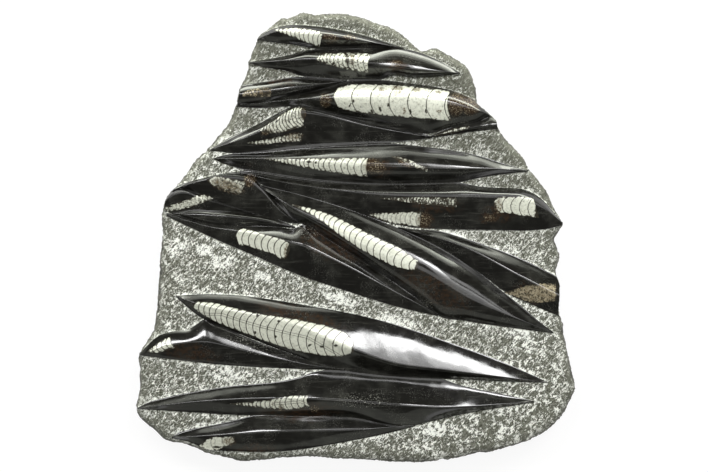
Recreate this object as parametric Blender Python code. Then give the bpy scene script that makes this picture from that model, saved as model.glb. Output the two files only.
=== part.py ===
"""Orthoceras plate: a broken slab of black fossil limestone with a carved and polished face.

The slab lies on its sawn back, with the carved face up. The carver left the fossils standing in
long spindle ridges, polished them, and pecked the ground between the ridges down with a chisel.
Each shell is a straight tapering cone, cut lengthwise by the polish, and lies flush in its ridge.
X runs along the ridges, Y across them and Z out of the face. Outlines are in millimetres.
"""

import math

import bmesh
import bpy
import numpy as np
from mathutils import Vector
from mathutils.geometry import delaunay_2d_cdt

MM = 0.001

GROUND = 30.0          # height of the pecked ground above the back
GROUND_SWELL = 1.0     # how far the ground rolls up and down
GROUND_GRID = 32.0     # spacing of the ground's own points
GRID_REACH = 6         # rows of them on each side of the middle
# The ground's waves: their lengths and phases in X and in Y, and their share of the whole.
# Lengths are in millimetres for one radian.
GROUND_WAVES = ((31.0, 23.0, 0.8, 1.9, 0.67), (17.0, 12.0, 0.4, 0.9, 0.33))
RIDGE_ROOT = 18.0      # height at which a ridge's solid starts, inside the slab
RIDGE_STATION = 18.2   # distance between the cross sections along a ridge
BORDER_RISE = 0.8      # a ridge's polished border stands this far above the ground
FOOT_DROP = 3.0        # below its border a ridge spreads into the ground over this depth
FOOT_SPREAD = 2.0
FOOT_SHARE = 0.3       # but at a narrow end over no more than this share of its width
CROSS_STEPS = (0.0, 0.4, 0.78, 1.0)   # points of a ridge's profile, from its crest to its border
FLANK_FULLNESS = 0.9  # below 1 the flanks stand steeper at the border than a straight roof's
WIDTH_TO_HEIGHT = 0.8  # how much lower a ridge gets as it narrows
WIDTH_SAMPLES = 60     # places at which a ridge's width is measured
SHELL_STATION = 16.0   # distance between the cross sections along a shell
SHELL_TOP = 60.0       # shells are made up to here, then cut off by the polished face
SHELL_SINK = 1.0       # a shell's axis lies this far below the face at its edges
SHELL_ARC_STEPS = 3    # sides of a shell's round underside
SLIVER = 0.01          # edges shorter than this are dissolved after each cut
FIT_GAP = 0.3          # gap between a shell and its pocket
TRIM_MARGIN = 1.7      # ridge ends are broken off this far outside the outline

# The slab's broken sides, from the back up: height, distance inward from the outline, and
# how far the break wanders in and out there.
SIDE_RINGS = ((0.0, 3.4, 1.5), (9.0, 0.4, 1.5), (19.0, -1.4, 0.0), (27.5, 0.8, 0.9))
WANDER_LENGTHS = (7.0, 9.0)
GROUND_INSET = 5.6     # the ground's flat part starts this far in from the outline

OUTLINE = [
    (-73.5, 148.5), (-69, 153.5), (-55, 164), (-50.5, 164), (-39, 168.5), (-30, 167), (-20.5, 168),
    (-4, 167), (24, 158), (34.5, 152.5), (48.5, 140), (58.5, 141.5), (63, 140.5), (76.5, 133),
    (84, 127), (89.5, 114.5), (90.5, 102.5), (93.5, 98.5), (105.5, 87.5), (107, 82), (112.5, 73.5),
    (126, 59.5), (130.5, 50.5), (143, 35), (147, 25), (155.5, 10.5), (149, -1), (153, -14),
    (150, -26.5), (153, -35), (152.5, -56.5), (155.5, -65.5), (155.5, -71), (163.5, -105.5),
    (164.5, -115), (159.5, -125), (155.5, -133), (143.5, -144.5), (129.5, -152.5), (116.5, -156.5),
    (101, -160.5), (91.5, -161), (75, -165.5), (46.5, -168.5), (12.5, -167), (-9, -166),
    (-34, -164), (-51, -164.5), (-78, -167.5), (-85, -167.5), (-95.5, -165.5), (-111, -162),
    (-127.5, -155), (-143.5, -151), (-161.5, -134.5), (-164.5, -127), (-161, -113), (-162, -89),
    (-151, -70), (-148.5, -55), (-147, -35.5), (-146.5, -18.5), (-144, 4), (-145, 15.5),
    (-141, 30.5), (-127.5, 46), (-120, 57.5), (-111, 66), (-96, 83.5), (-89.5, 98),
    (-86, 111.5), (-81, 122.5), (-79.5, 131.5),
]

# Each ridge in plan: its upper border, crest and lower border from left end to right end, how high
# its middle stands above the ground, and how round its back is: 1 is a sharp roof, 2 a barrel. Some
# ridges' flanks have a fullness of their own.
RIDGES = {
    "crown": {
        "upper": [(-73.5, 148.5), (-69, 152.5), (-56.5, 158), (-29.5, 158.5), (-7.5, 155),
                  (15, 149.5), (36.5, 142.5)],
        "crest": [(-73.5, 148.5), (-58, 154), (-41.5, 152.5), (-22.5, 151), (36.5, 142)],
        "lower": [(-73.5, 148), (-67.5, 147), (-43.5, 144), (-28, 141), (0, 141), (36.5, 141.5)],
        "height": 7.5, "round": 1.5},
    "second": {
        "upper": [(-79.5, 131.5), (-51, 136.5), (-37.5, 140), (-28, 141.4), (0, 142),
                  (18.5, 142.5), (33.5, 142), (70.5, 128.5), (78.5, 123.5)],
        "crest": [(-79.5, 131), (-19, 133), (41, 126), (78.5, 123)],
        "lower": [(-79.5, 130.5), (-70.5, 128), (-49, 124), (-41, 121.2), (-30, 119.4),
                  (-19, 118.6), (7.5, 117.8), (18.5, 118.2), (30.5, 121.5), (40.5, 120),
                  (52.5, 120), (71, 121.5), (78.5, 122.5)],
        "height": 9.5, "round": 1.5, "fullness": 0.65},
    "third_west": {
        "upper": [(-90, 112), (-84, 114.5), (-75, 116), (-64, 117.5), (-43, 120.5), (-30, 120),
                  (-6, 118.5)],
        "crest": [(-90, 106.5), (-60, 110), (-6, 117.5)],
        "lower": [(-90, 99.5), (-80.5, 99.5), (-73, 100), (-60, 103), (-19, 112.5), (-6, 116.5)],
        "height": 5.5, "round": 1.6},
    "third": {
        "upper": [(-91, 100), (-73, 101.5), (-60, 104), (-34, 109.5), (-19, 113), (-6, 117.5),
                  (7.5, 118.5), (41, 115.5), (80, 107.5), (90, 103), (97.5, 97.5), (102, 92)],
        "crest": [(-91, 99), (-30, 104), (15, 104), (69, 101), (102, 91.5)],
        "lower": [(-91, 98), (-70, 97), (-52.5, 98), (-43, 98), (-34, 96), (-19, 92.5), (26, 82),
                  (41, 79), (52.5, 77.5), (71, 82), (93.5, 87), (102, 91)],
        "height": 12.5, "round": 1.8},
    "third_tail": {
        "upper": [(56, 76), (71, 82.5), (93.5, 87.5), (102, 91), (108, 88.5)],
        "crest": [(56, 75.5), (78.5, 81), (108, 85)],
        "lower": [(56, 75), (63.5, 75.5), (82.5, 78.5), (108, 81.5)],
        "height": 3.5, "round": 1.6},
    "fourth": {
        "upper": [(-109, 66), (-92.5, 76), (-73, 85), (-56.5, 94), (-43, 99.5), (-35.5, 97.5),
                  (-4, 89.5), (26, 83), (52.5, 77.5), (57.5, 75.5)],
        "crest": [(-109, 65.5), (-70, 80), (-45, 94.5), (-34, 94), (11, 83.5), (57.5, 75)],
        "lower": [(-109, 65), (-101.5, 64.2), (-90, 62.7), (-70, 63.6), (-41.5, 66.6), (-4, 69.2),
                  (24, 70.8), (57.5, 74.5)],
        "height": 8.5, "round": 1.5},
    "fifth": {
        "upper": [(-106, 59.5), (-101.5, 61), (-94, 62.6), (-86, 63.3), (-70, 64.1), (-41.5, 67.1),
                  (-4, 69.7), (24, 71), (33.5, 70), (93.5, 61), (116, 54), (129.5, 50.5)],
        "crest": [(-106, 59), (-67.5, 59), (-20, 56), (33.5, 53), (75, 51.5), (101, 51.5),
                  (129.5, 50)],
        "lower": [(-106, 58.5), (-101.5, 56.5), (-86.5, 51.5), (-64, 47.6), (-34, 43.5),
                  (-4, 40.8), (15, 39.9), (41, 39.9), (60, 40.3), (78, 41.2), (92, 44.5),
                  (129.5, 49.5)],
        "height": 9.5, "round": 1.6},
    "sixth": {
        "upper": [(-86.5, 50.3), (-80, 50.4), (-64, 48.1), (-34, 44), (-4, 41.3), (15, 40.4),
                  (41, 40.4), (60, 40.8), (78, 41.2), (92, 38.4), (101, 37.6), (116, 37),
                  (125, 36.5), (139.5, 29), (150.5, 17), (156.5, 10.5)],
        "crest": [(-86.5, 48.5), (-56.5, 42), (3.5, 34), (60, 32), (101, 31.5), (125, 29.5),
                  (142.5, 21), (156.5, 10)],
        "lower": [(-86.5, 47.5), (-79, 44.5), (-70, 39.5), (-56.5, 35.5), (-26.5, 28), (3.5, 17.5),
                  (15, 13.5), (37.5, 8.5), (48.5, 7), (57.5, 6.5), (101, 5.5), (135, 5.5),
                  (144.5, 6.5), (156.5, 9.5)],
        "height": 8.5, "round": 1.5},
    "west_upper": {
        "upper": [(-142, 33.5), (-131.5, 39.5), (-116.5, 44), (-98.5, 48), (-86.5, 49),
                  (-79, 46.5), (-72, 40.5), (-56.5, 23.5), (-49, 16), (-42, 11)],
        "crest": [(-142, 33), (-127.5, 39), (-110, 44), (-90, 46), (-79, 43.5), (-70, 36),
                  (-56.5, 20.5), (-42, 10.5)],
        "lower": [(-142, 31), (-130, 36), (-118, 31.5), (-100, 24.5), (-64, 14.5),
                  (-52.5, 11.5), (-42, 10)],
        "height": 7.0, "round": 1.5},
    "west_small": {
        "upper": [(-144, 28), (-139, 33.5), (-134.5, 36), (-130, 37), (-118, 32.5), (-109, 29),
                  (-86.5, 21.5), (-73, 17.5)],
        "crest": [(-144, 25), (-134.5, 33), (-127, 34), (-116.5, 30), (-101.5, 25.5), (-73, 17)],
        "lower": [(-144, 21.5), (-139, 18.5), (-124, 20.5), (-73, 16.5)],
        "height": 5.5, "round": 1.6},
    "west_sliver": {
        "upper": [(-137.5, 18.5), (-124, 21.5), (-105, 21), (-86.5, 19), (-56.5, 13), (-45, 8)],
        "crest": [(-137.5, 18), (-71.5, 13), (-45, 7.5)],
        "lower": [(-137.5, 17.5), (-105, 8.5), (-67.5, 8.5), (-45, 7)],
        "height": 4.0, "round": 1.6},
    "west_long": {
        "upper": [(-141.5, 18.5), (-127.5, 15.5), (-105, 9.5), (-86.5, 9), (-56.5, 8), (-45, 7),
                  (-39, 10), (-26.5, 3), (-11.5, -6.5), (3.5, -15.5), (33.5, -36.5), (62, -56.5)],
        "crest": [(-141.5, 17.5), (-110, 8.5), (-87, 5), (-62, 0), (-40, -5.5), (-11.5, -18.5),
                  (33.5, -42.5), (62, -57.5)],
        "lower": [(-141.5, 16), (-109, 0.5), (-75, -14), (-41.5, -28.5), (-11.5, -38.5),
                  (33.5, -52.5), (62, -59)],
        "height": 9.0, "round": 1.25},
    "diagonal": {
        "upper": [(-73, 40), (-41.5, 32.5), (15, 14), (60, -5.5), (86, -21), (110, -40),
                  (124, -51), (138, -63), (148.5, -71)],
        "crest": [(-73, 39), (-46.5, 22), (-4, 0), (32, -16), (48.5, -22.5), (87.5, -46),
                  (124, -62), (148.5, -71.5)],
        "lower": [(-73, 38), (-64, 30.5), (-49, 14.5), (-39, 9.5), (-26.5, 2), (18.5, -27),
                  (48.5, -48), (62, -58.5), (82.5, -62.5), (148.5, -72)],
        "height": 12.5, "round": 1.9},
    "east": {
        "upper": [(32, 8), (41, 6.5), (65, 4.5), (78.5, 0.5), (93.5, -4.5), (123.5, -15.5),
                  (155, -31)],
        "crest": [(32, 7.5), (84, -8), (123.5, -29), (155, -45)],
        "lower": [(32, 7), (71, -12.5), (101, -32.5), (112.5, -41), (135, -51.5), (155, -60)],
        "height": 7.5, "round": 1.2},
    "great": {
        "upper": [(-134.5, -43.5), (-112.5, -42.5), (-86.5, -43.5), (-41.5, -50), (18.5, -62),
                  (78.5, -81.5), (108.5, -92.5), (144, -108)],
        "crest": [(-134.5, -44), (-116.5, -50), (-94, -54.5), (-49, -63.5), (-4, -83), (30, -95),
                  (60, -99), (86, -102), (112.5, -105), (144, -108.5)],
        "lower": [(-134.5, -44.5), (-129, -49.5), (-116.5, -59.5), (-109, -63.5), (-86.5, -72.5),
                  (-19, -97), (-7.5, -100.2), (10, -102.6), (41, -105.2), (58, -106), (75, -106.2),
                  (108.5, -108), (144, -109)],
        "height": 11.2, "round": 1.1, "fullness": 0.7},
    "west_lower": {
        "upper": [(-161.5, -87.5), (-156, -81), (-150, -75.5), (-135, -70), (-126, -69),
                  (-119.5, -65.5), (-114, -61.5), (-105, -65), (-64, -81.5), (-19, -96),
                  (-7.5, -98)],
        "crest": [(-161.5, -88), (-140, -81), (-112.5, -78), (-79, -85.5), (-34, -95.5),
                  (-7.5, -99)],
        "lower": [(-161.5, -88.5), (-105, -95), (-7.5, -100)],
        "height": 7.0, "round": 1.2, "fullness": 0.6},
    "south": {
        "upper": [(-163, -127.5), (-154, -123), (-142.5, -120), (-101.5, -112.5), (-41.5, -104.5),
                  (-30, -100.6), (-19, -99), (-7.5, -99.6), (10, -102), (41, -104.6), (58, -105.4),
                  (66, -106.3), (75, -109.5), (108.5, -117), (134, -122.5)],
        "crest": [(-163, -128), (-116.5, -122.5), (-56.5, -120), (33.5, -125), (61.5, -127),
                  (134, -123)],
        "lower": [(-163, -128.5), (-79, -133.5), (-41.5, -134.5), (-19, -134.5), (-4, -135.5),
                  (37.5, -143), (48.5, -140), (78.5, -133), (134, -123.5)],
        "height": 11.0, "round": 1.15},
    "south_front": {
        "upper": [(-137.5, -149.5), (-131.5, -146), (-124, -144), (-101.5, -139.5), (-86, -135.8),
                  (-78, -133.6), (-60, -133.4), (-41.5, -134), (-4, -133.5), (26, -137.5),
                  (45, -139.5)],
        "crest": [(-137.5, -150), (-41.5, -144.5), (-11.5, -144.5), (45, -140.5)],
        "lower": [(-137.5, -150.5), (-127.5, -152.5), (-110.5, -158.5), (-86.5, -160.5),
                  (-56.5, -160.5), (-11.5, -154), (33.5, -144.5), (45, -141.5)],
        "height": 7.5, "round": 1.3},
}

# Each shell in plan: the ridge it lies in and its two edges, from its narrow end to its mouth.
SHELLS = {
    "orthocone_crown": {
        "ridge": "crown",
        "upper": [(-63, 156), (-35.5, 156), (-23.5, 153)],
        "lower": [(-63, 155.5), (-49, 150.5), (-27, 142.5)]},
    "orthocone_second": {
        "ridge": "second",
        "upper": [(-29, 134), (-25.5, 137), (-15, 138), (5, 138), (12.5, 137)],
        "lower": [(-29, 132), (-15, 127.5), (10.5, 123)]},
    "orthocone_third_west": {
        "ridge": "third_west",
        "upper": [(-84, 108.5), (-73, 112), (-67.5, 112), (-63, 109.5)],
        "lower": [(-84, 105.5), (-67.5, 105), (-63, 105.5)]},
    "orthocone_third": {
        "ridge": "third",
        "upper": [(-16.5, 105.5), (-14.5, 110.5), (-10, 113), (-2.5, 114.5), (15, 114.5),
                  (52.5, 112), (71, 109.5)],
        "lower": [(-16.5, 104.5), (-14.5, 99.5), (-10, 96), (-2.5, 94.5), (15, 92), (33.5, 90),
                  (72.5, 87)]},
    "orthocone_third_tail": {
        "ridge": "third_tail",
        "upper": [(59, 76.5), (67.5, 80), (85.5, 83.5)],
        "lower": [(59, 76), (67.5, 77), (85.5, 81.5)]},
    "orthocone_fourth": {
        "ridge": "fourth",
        "upper": [(-71.5, 80), (-49, 95), (-43, 97.5), (-37, 97)],
        "lower": [(-71.5, 79), (-65.5, 78), (-58, 78), (-39, 83)]},
    "orthocone_fourth_low": {
        "ridge": "fourth",
        "upper": [(-81, 71), (-56.5, 75.5), (-47.5, 77.5), (-40, 78)],
        "lower": [(-81, 70.5), (-74.5, 69.5), (-56.5, 71), (-40, 72)]},
    "orthocone_fifth": {
        "ridge": "fifth",
        "upper": [(-67, 59), (9.5, 59.5)],
        "lower": [(-67, 58.5), (-34, 51.5), (9.5, 45)]},
    "orthocone_fifth_curved": {
        "ridge": "fifth",
        "upper": [(27, 61), (35, 59.5), (45, 56), (54, 52)],
        "lower": [(27, 60), (37.5, 56), (45, 52), (53.5, 49)]},
    "orthocone_sixth_slender": {
        "ridge": "sixth",
        "upper": [(18.5, 29.5), (41, 30), (75.5, 29.5)],
        "lower": [(18.5, 29), (41, 26), (52.5, 24.5), (75.5, 22.5)]},
    "orthocone_sixth_low": {
        "ridge": "sixth",
        "upper": [(11, 18), (50, 19.5)],
        "lower": [(11, 16), (22.5, 12), (48, 8)]},
    "orthocone_sixth_east": {
        "ridge": "sixth",
        "upper": [(103.5, 27.5), (106.5, 30), (112.5, 30.5), (123.5, 30.5), (132.5, 30)],
        "lower": [(103.5, 26), (106.5, 20), (112.5, 18.5), (137.5, 14.5)]},
    "orthocone_west_upper": {
        "ridge": "west_upper",
        "upper": [(-110.5, 43.5), (-104.5, 45.5), (-97.5, 45), (-81, 41)],
        "lower": [(-110.5, 42), (-106, 39), (-86.5, 32)]},
    "orthocone_west_small": {
        "ridge": "west_small",
        "upper": [(-143, 22.5), (-124, 29), (-116.5, 32), (-110.5, 31.5), (-106.5, 29.5)],
        "lower": [(-143, 19), (-124, 22.5), (-106.5, 29)]},
    "orthocone_west_long": {
        "ridge": "west_long",
        "upper": [(-89.5, 2.5), (-87, 6), (-82, 6.5), (-73, 4), (-62.5, 1), (-52.5, -2),
                  (-49.5, -4)],
        "lower": [(-89.5, 1), (-88, -3.5), (-82, -6), (-73, -9), (-62.5, -12), (-52.5, -15),
                  (-50.5, -12.5)]},
    "orthocone_diagonal": {
        "ridge": "diagonal",
        "upper": [(-47.5, 25), (-26.5, 20), (18.5, -1), (33.5, -8), (46.5, -17)],
        "lower": [(-47.5, 24.5), (-26.5, 13), (-11.5, 1.5), (3.5, -8.5), (18.5, -16.5),
                  (33.5, -23), (44, -24.5)]},
    "orthocone_east": {
        "ridge": "east",
        "upper": [(111.5, -41), (135, -34.5), (150, -34.5)],
        "lower": [(111.5, -41.5), (135, -49), (150, -47.5)]},
    "orthocone_great": {
        "ridge": "great",
        "upper": [(-121.5, -51.5), (-119.5, -49), (-114, -48), (-105, -49), (-82.5, -54.5),
                  (-26.5, -64.5), (-14.5, -68), (-6, -72), (-1.5, -77)],
        "lower": [(-121.5, -52.5), (-112.5, -59), (-101.5, -64.5), (-90, -69), (-45, -84.5),
                  (-22.5, -88.5), (-11.5, -89), (-1.5, -86)]},
    "orthocone_west_lower": {
        "ridge": "west_lower",
        "upper": [(-155.5, -85), (-144, -76.5), (-138, -74)],
        "lower": [(-155.5, -86), (-149.5, -86.5), (-142.5, -85), (-134.5, -82.5)]},
    "orthocone_south": {
        "ridge": "south",
        "upper": [(-94, -124), (-67.5, -121.5), (-47.5, -118), (-34.5, -117.5)],
        "lower": [(-94, -124.5), (-58, -128.5), (-47.5, -128.5), (-34, -126)]},
    "orthocone_south_front": {
        "ridge": "south_front",
        "upper": [(-117, -155.5), (-106.5, -149), (-100, -149), (-90, -148.5)],
        "lower": [(-117, -156.5), (-106.5, -160), (-100, -158), (-90, -152.5)]},
}

BLACK_LIMESTONE = (0.045, 0.045, 0.035)
WHITE_CALCITE = (0.60, 0.62, 0.52)
BROWN_CALCITE = (0.16, 0.13, 0.08)
BROWN_SHELLS = ("orthocone_third_west", "orthocone_east")


def clear_scene():
    for obj in list(bpy.data.objects):
        bpy.data.objects.remove(obj, do_unlink=True)


def material(name, colour, roughness):
    mat = bpy.data.materials.new(name)
    mat.use_nodes = True
    shader = mat.node_tree.nodes["Principled BSDF"]
    shader.inputs["Base Color"].default_value = (*colour, 1.0)
    shader.inputs["Roughness"].default_value = roughness
    shader.inputs["Metallic"].default_value = 0.0
    return mat


def smooth_curve(points, x):
    """Height of a smooth curve through the points, which run from left to right, at each x."""
    px, py = np.array(points, dtype=float).T
    span = np.diff(px)
    slope = np.diff(py) / span
    tangent = np.empty(len(px))
    tangent[0] = slope[0]
    tangent[-1] = slope[-1]
    tangent[1:-1] = (slope[:-1] * span[1:] + slope[1:] * span[:-1]) / (span[1:] + span[:-1])
    x = np.clip(x, px[0], px[-1])
    i = np.clip(np.searchsorted(px, x) - 1, 0, len(px) - 2)
    t = (x - px[i]) / span[i]
    rise = py[i] * (1 + 2 * t) * (1 - t) ** 2 + py[i + 1] * t ** 2 * (3 - 2 * t)
    bend = tangent[i] * t * (1 - t) ** 2 + tangent[i + 1] * t ** 2 * (t - 1)
    return rise + span[i] * bend


def edge_points(points, t):
    """Plan points on a smooth curve at the fractions t of its breadth."""
    x = points[0][0] + (points[-1][0] - points[0][0]) * t
    return np.column_stack([x, smooth_curve(points, x)])


def stations(points, spacing):
    """Fractions of a curve's breadth, closer together towards its ends, where outlines turn in."""
    count = max(4, round((points[-1][0] - points[0][0]) / spacing))
    even = np.linspace(0.0, 1.0, count + 1)
    return (even + 0.5 - 0.5 * np.cos(math.pi * even)) / 2


def ridge_height(ridge, x):
    """How high the ridge's crest stands above its borders at x: it sinks where the ridge narrows."""
    first, last = ridge["upper"][0][0], ridge["upper"][-1][0]
    along = np.linspace(first, last, WIDTH_SAMPLES)
    widest = np.max(smooth_curve(ridge["upper"], along) - smooth_curve(ridge["lower"], along))
    width = smooth_curve(ridge["upper"], x) - smooth_curve(ridge["lower"], x)
    return ridge["height"] * np.clip(width / widest, 0.0, 1.0) ** WIDTH_TO_HEIGHT


def profile(ridge, q):
    """Share of the crest's height left at the fraction q of the way from crest to border."""
    fullness = ridge.get("fullness", FLANK_FULLNESS)
    return np.clip(1.0 - q ** ridge["round"], 0.0, 1.0) ** fullness


def face_height(ridge, x, y):
    """Height of the ridge's polished surface above the back."""
    crest = smooth_curve(ridge["crest"], x)
    upper = smooth_curve(ridge["upper"], x)
    lower = smooth_curve(ridge["lower"], x)
    reach = np.where(y > crest, upper - crest, crest - lower)
    q = np.clip(np.abs(y - crest) / np.maximum(reach, 0.1), 0.0, 1.0)
    return GROUND + BORDER_RISE + ridge_height(ridge, x) * profile(ridge, q)


def add_mesh(name, points, faces):
    mesh = bpy.data.meshes.new(name)
    mesh.from_pydata([Vector(p) * MM for p in points], [], faces)
    mesh.validate()
    obj = bpy.data.objects.new(name, mesh)
    bpy.context.scene.collection.objects.link(obj)
    return obj


def loft(name, rings):
    """One closed body through equal rings of points, which run anticlockwise seen from the last."""
    size = len(rings[0])
    points = [point for ring in rings for point in ring]
    faces = [tuple(range(size))[::-1]]
    for low in range(0, size * (len(rings) - 1), size):
        for k in range(size):
            after = (k + 1) % size
            faces.append((low + k, low + after, low + size + after, low + size + k))
    last = size * (len(rings) - 1)
    faces.append(tuple(range(last, last + size)))
    return add_mesh(name, points, faces)


def ridge_ring(ridge, x):
    """A ridge's cross section at x, from its upper border over the crest to the lower border."""
    upper = float(smooth_curve(ridge["upper"], x))
    crest = float(smooth_curve(ridge["crest"], x))
    lower = float(smooth_curve(ridge["lower"], x))
    height = float(ridge_height(ridge, x))
    border = GROUND + BORDER_RISE
    spread = min(FOOT_SPREAD, FOOT_SHARE * (upper - lower))
    ring = [(x, upper + spread, RIDGE_ROOT), (x, upper + spread, border - FOOT_DROP)]
    for q in CROSS_STEPS[::-1]:
        ring.append((x, crest + q * (upper - crest), border + height * float(profile(ridge, q))))
    for q in CROSS_STEPS[1:]:
        ring.append((x, crest + q * (lower - crest), border + height * float(profile(ridge, q))))
    ring += [(x, lower - spread, border - FOOT_DROP), (x, lower - spread, RIDGE_ROOT)]
    return ring


def build_ridge(name, ridge):
    first, last = ridge["upper"][0][0], ridge["upper"][-1][0]
    along = first + (last - first) * stations(ridge["upper"], RIDGE_STATION)
    return loft("ridge_" + name, [ridge_ring(ridge, float(x)) for x in along])


def build_shell_body(name, shell, gap):
    """A cone with a round underside and straight sides up through the face, gap wider all round."""
    ridge = RIDGES[shell["ridge"]]
    t = stations(shell["upper"], SHELL_STATION)
    upper = edge_points(shell["upper"], t)
    lower = edge_points(shell["lower"], t)
    along = (upper[-1] + lower[-1]) - (upper[0] + lower[0])
    along /= np.hypot(*along)
    upper[0] -= along * gap
    lower[0] -= along * gap
    upper[-1] += along * gap
    lower[-1] += along * gap
    rings = []
    for high, low in zip(upper, lower):
        middle = (high + low) / 2
        across = high - low
        radius = np.hypot(*across) / 2 + gap
        across /= np.hypot(*across)
        edge_level = min(face_height(ridge, *high), face_height(ridge, *low))
        axis = float(edge_level) - SHELL_SINK
        ring = [(*(middle - across * radius), SHELL_TOP)]
        for step in range(SHELL_ARC_STEPS + 1):
            turn = math.pi * step / SHELL_ARC_STEPS
            ring.append((*(middle - across * radius * math.cos(turn)),
                         axis - radius * math.sin(turn)))
        ring.append((*(middle + across * radius), SHELL_TOP))
        rings.append(ring)
    return loft(name, rings)


def inset_outline(distance, wander=0.0):
    """The slab's outline moved inward, along directions averaged over each point's neighbours."""
    points = np.array(OUTLINE, dtype=float)
    ahead = np.roll(points, -2, axis=0) - np.roll(points, 2, axis=0)
    ahead /= np.linalg.norm(ahead, axis=1)[:, None]
    inward = np.column_stack([ahead[:, 1], -ahead[:, 0]])
    wave = (np.sin(points[:, 0] / WANDER_LENGTHS[0] + distance)
            * np.sin(points[:, 1] / WANDER_LENGTHS[1] + 2.0 * distance))
    return points + inward * (distance + wander * wave)[:, None]


def inside(point, outline):
    """Whether a plan point lies inside a closed outline."""
    x, y = point
    x1, y1 = outline.T
    x2, y2 = np.roll(outline, -1, axis=0).T
    crosses = (y1 > y) != (y2 > y)
    at = x1 + (y - y1) * (x2 - x1) / np.where(crosses, y2 - y1, 1.0)
    return np.count_nonzero(crosses & (x < at)) % 2 == 1


def ground_level(x, y):
    """The pecked ground's slow rise and fall."""
    level = GROUND
    for long, wide, phase_x, phase_y, share in GROUND_WAVES:
        roll = math.sin(x / long + phase_x) * math.sin(y / wide + phase_y)
        level += GROUND_SWELL * share * roll
    return level


def build_blank():
    """The slab before carving: flat back, broken sides and the pecked ground over the whole face."""
    rings = [[(x, y, level) for x, y in inset_outline(inset, wander)]
             for level, inset, wander in SIDE_RINGS]
    rim = inset_outline(GROUND_INSET)
    size = len(rim)
    spots = [Vector(p) for p in rim]
    clear = inset_outline(GROUND_INSET + GROUND_GRID / 3)
    steps = np.arange(-GRID_REACH, GRID_REACH + 1) * GROUND_GRID
    spots += [Vector((x, y)) for x in steps for y in steps if inside((x, y), clear)]
    edges = [(k, (k + 1) % size) for k in range(size)]
    flat, _, cells, _, _, _ = delaunay_2d_cdt(spots, edges, [], 1, 1e-6)

    points = [p for ring in rings for p in ring]
    top = len(points)
    points += [(p.x, p.y, ground_level(p.x, p.y)) for p in flat]
    # The outline runs clockwise seen from above, and so do the rings.
    faces = [tuple(range(size))]
    for low in range(0, top, size):
        for k in range(size):
            after = (k + 1) % size
            faces.append((low + after, low + k, low + size + k, low + size + after))
    faces += [tuple(top + k for k in cell) for cell in cells]
    return add_mesh("blank", points, faces)


def build_trim():
    """A straight-sided block of the slab's outline, which cuts off ridge ends that overhang it."""
    outline = inset_outline(-TRIM_MARGIN)[::-1]
    rings = [[(x, y, level) for x, y in outline] for level in (-5.0, SHELL_TOP)]
    return loft("trim", rings)


def tidy(mesh):
    """Leaves flat triangles and no slivers, so that the next cut meets exact faces."""
    work = bmesh.new()
    work.from_mesh(mesh)
    bmesh.ops.dissolve_degenerate(work, dist=SLIVER * MM, edges=work.edges)
    bmesh.ops.triangulate(work, faces=work.faces)
    work.to_mesh(mesh)
    work.free()


def boolean(obj, operation, others):
    """Cuts, joins or keeps the overlap with the others, and leaves the result as obj's own mesh."""
    group = bpy.data.collections.new("operands")
    for other in others:
        group.objects.link(other)
    step = obj.modifiers.new(operation.lower(), "BOOLEAN")
    step.operation = operation
    step.solver = "EXACT"
    step.operand_type = "COLLECTION"
    step.collection = group
    graph = bpy.context.evaluated_depsgraph_get()
    result = bpy.data.meshes.new_from_object(obj.evaluated_get(graph))
    obj.modifiers.remove(step)
    tidy(result)
    obj.data = result
    bpy.data.collections.remove(group)


def discard(objects):
    for obj in objects:
        bpy.data.objects.remove(obj, do_unlink=True)


def build_stone():
    """The carved stone with no pockets in it yet."""
    stone = build_blank()
    ridges = [build_ridge(name, ridge) for name, ridge in RIDGES.items()]
    boolean(stone, "UNION", ridges)
    trim = build_trim()
    boolean(stone, "INTERSECT", [trim])
    discard(ridges + [trim])
    return stone


def build_shells(stone):
    """Every shell, cut off level with the polished face of its ridge."""
    white = material("white_calcite", WHITE_CALCITE, 0.25)
    brown = material("brown_calcite", BROWN_CALCITE, 0.3)
    for name, shell in SHELLS.items():
        body = build_shell_body(name, shell, 0.0)
        boolean(body, "INTERSECT", [stone])
        body.data.materials.clear()
        body.data.materials.append(brown if name in BROWN_SHELLS else white)


def build_slab(stone):
    """The stone with a pocket for each shell."""
    pockets = [build_shell_body("pocket_" + name, shell, FIT_GAP) for name, shell in SHELLS.items()]
    boolean(stone, "DIFFERENCE", pockets)
    discard(pockets)
    stone.name = "matrix_slab"
    stone.data.materials.clear()
    stone.data.materials.append(material("black_limestone", BLACK_LIMESTONE, 0.3))


clear_scene()
carved = build_stone()
build_shells(carved)
build_slab(carved)
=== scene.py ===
import math

import bpy
import numpy as np
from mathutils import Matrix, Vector, noise
from mathutils.geometry import delaunay_2d_cdt


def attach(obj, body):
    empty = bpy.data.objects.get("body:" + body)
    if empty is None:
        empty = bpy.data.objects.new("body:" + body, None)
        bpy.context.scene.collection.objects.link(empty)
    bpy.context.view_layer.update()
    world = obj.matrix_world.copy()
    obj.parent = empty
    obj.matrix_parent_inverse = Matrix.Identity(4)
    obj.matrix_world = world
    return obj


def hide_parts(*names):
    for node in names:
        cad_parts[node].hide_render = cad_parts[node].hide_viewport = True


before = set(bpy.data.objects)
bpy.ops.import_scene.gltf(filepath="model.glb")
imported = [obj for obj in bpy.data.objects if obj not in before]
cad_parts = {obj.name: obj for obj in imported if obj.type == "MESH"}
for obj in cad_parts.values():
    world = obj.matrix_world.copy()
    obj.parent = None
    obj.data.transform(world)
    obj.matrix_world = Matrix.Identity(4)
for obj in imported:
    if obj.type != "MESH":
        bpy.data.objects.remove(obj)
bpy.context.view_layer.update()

# ---------------------------------------------------------------------------------------------
# The studio. The plate lies face up on white paper under two long softboxes beyond its narrow end,
# with a weaker panel nearer the camera on the right, in a room that is otherwise dim: the polished
# ridges are black mirrors, so the room is what gives them their look.

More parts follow.
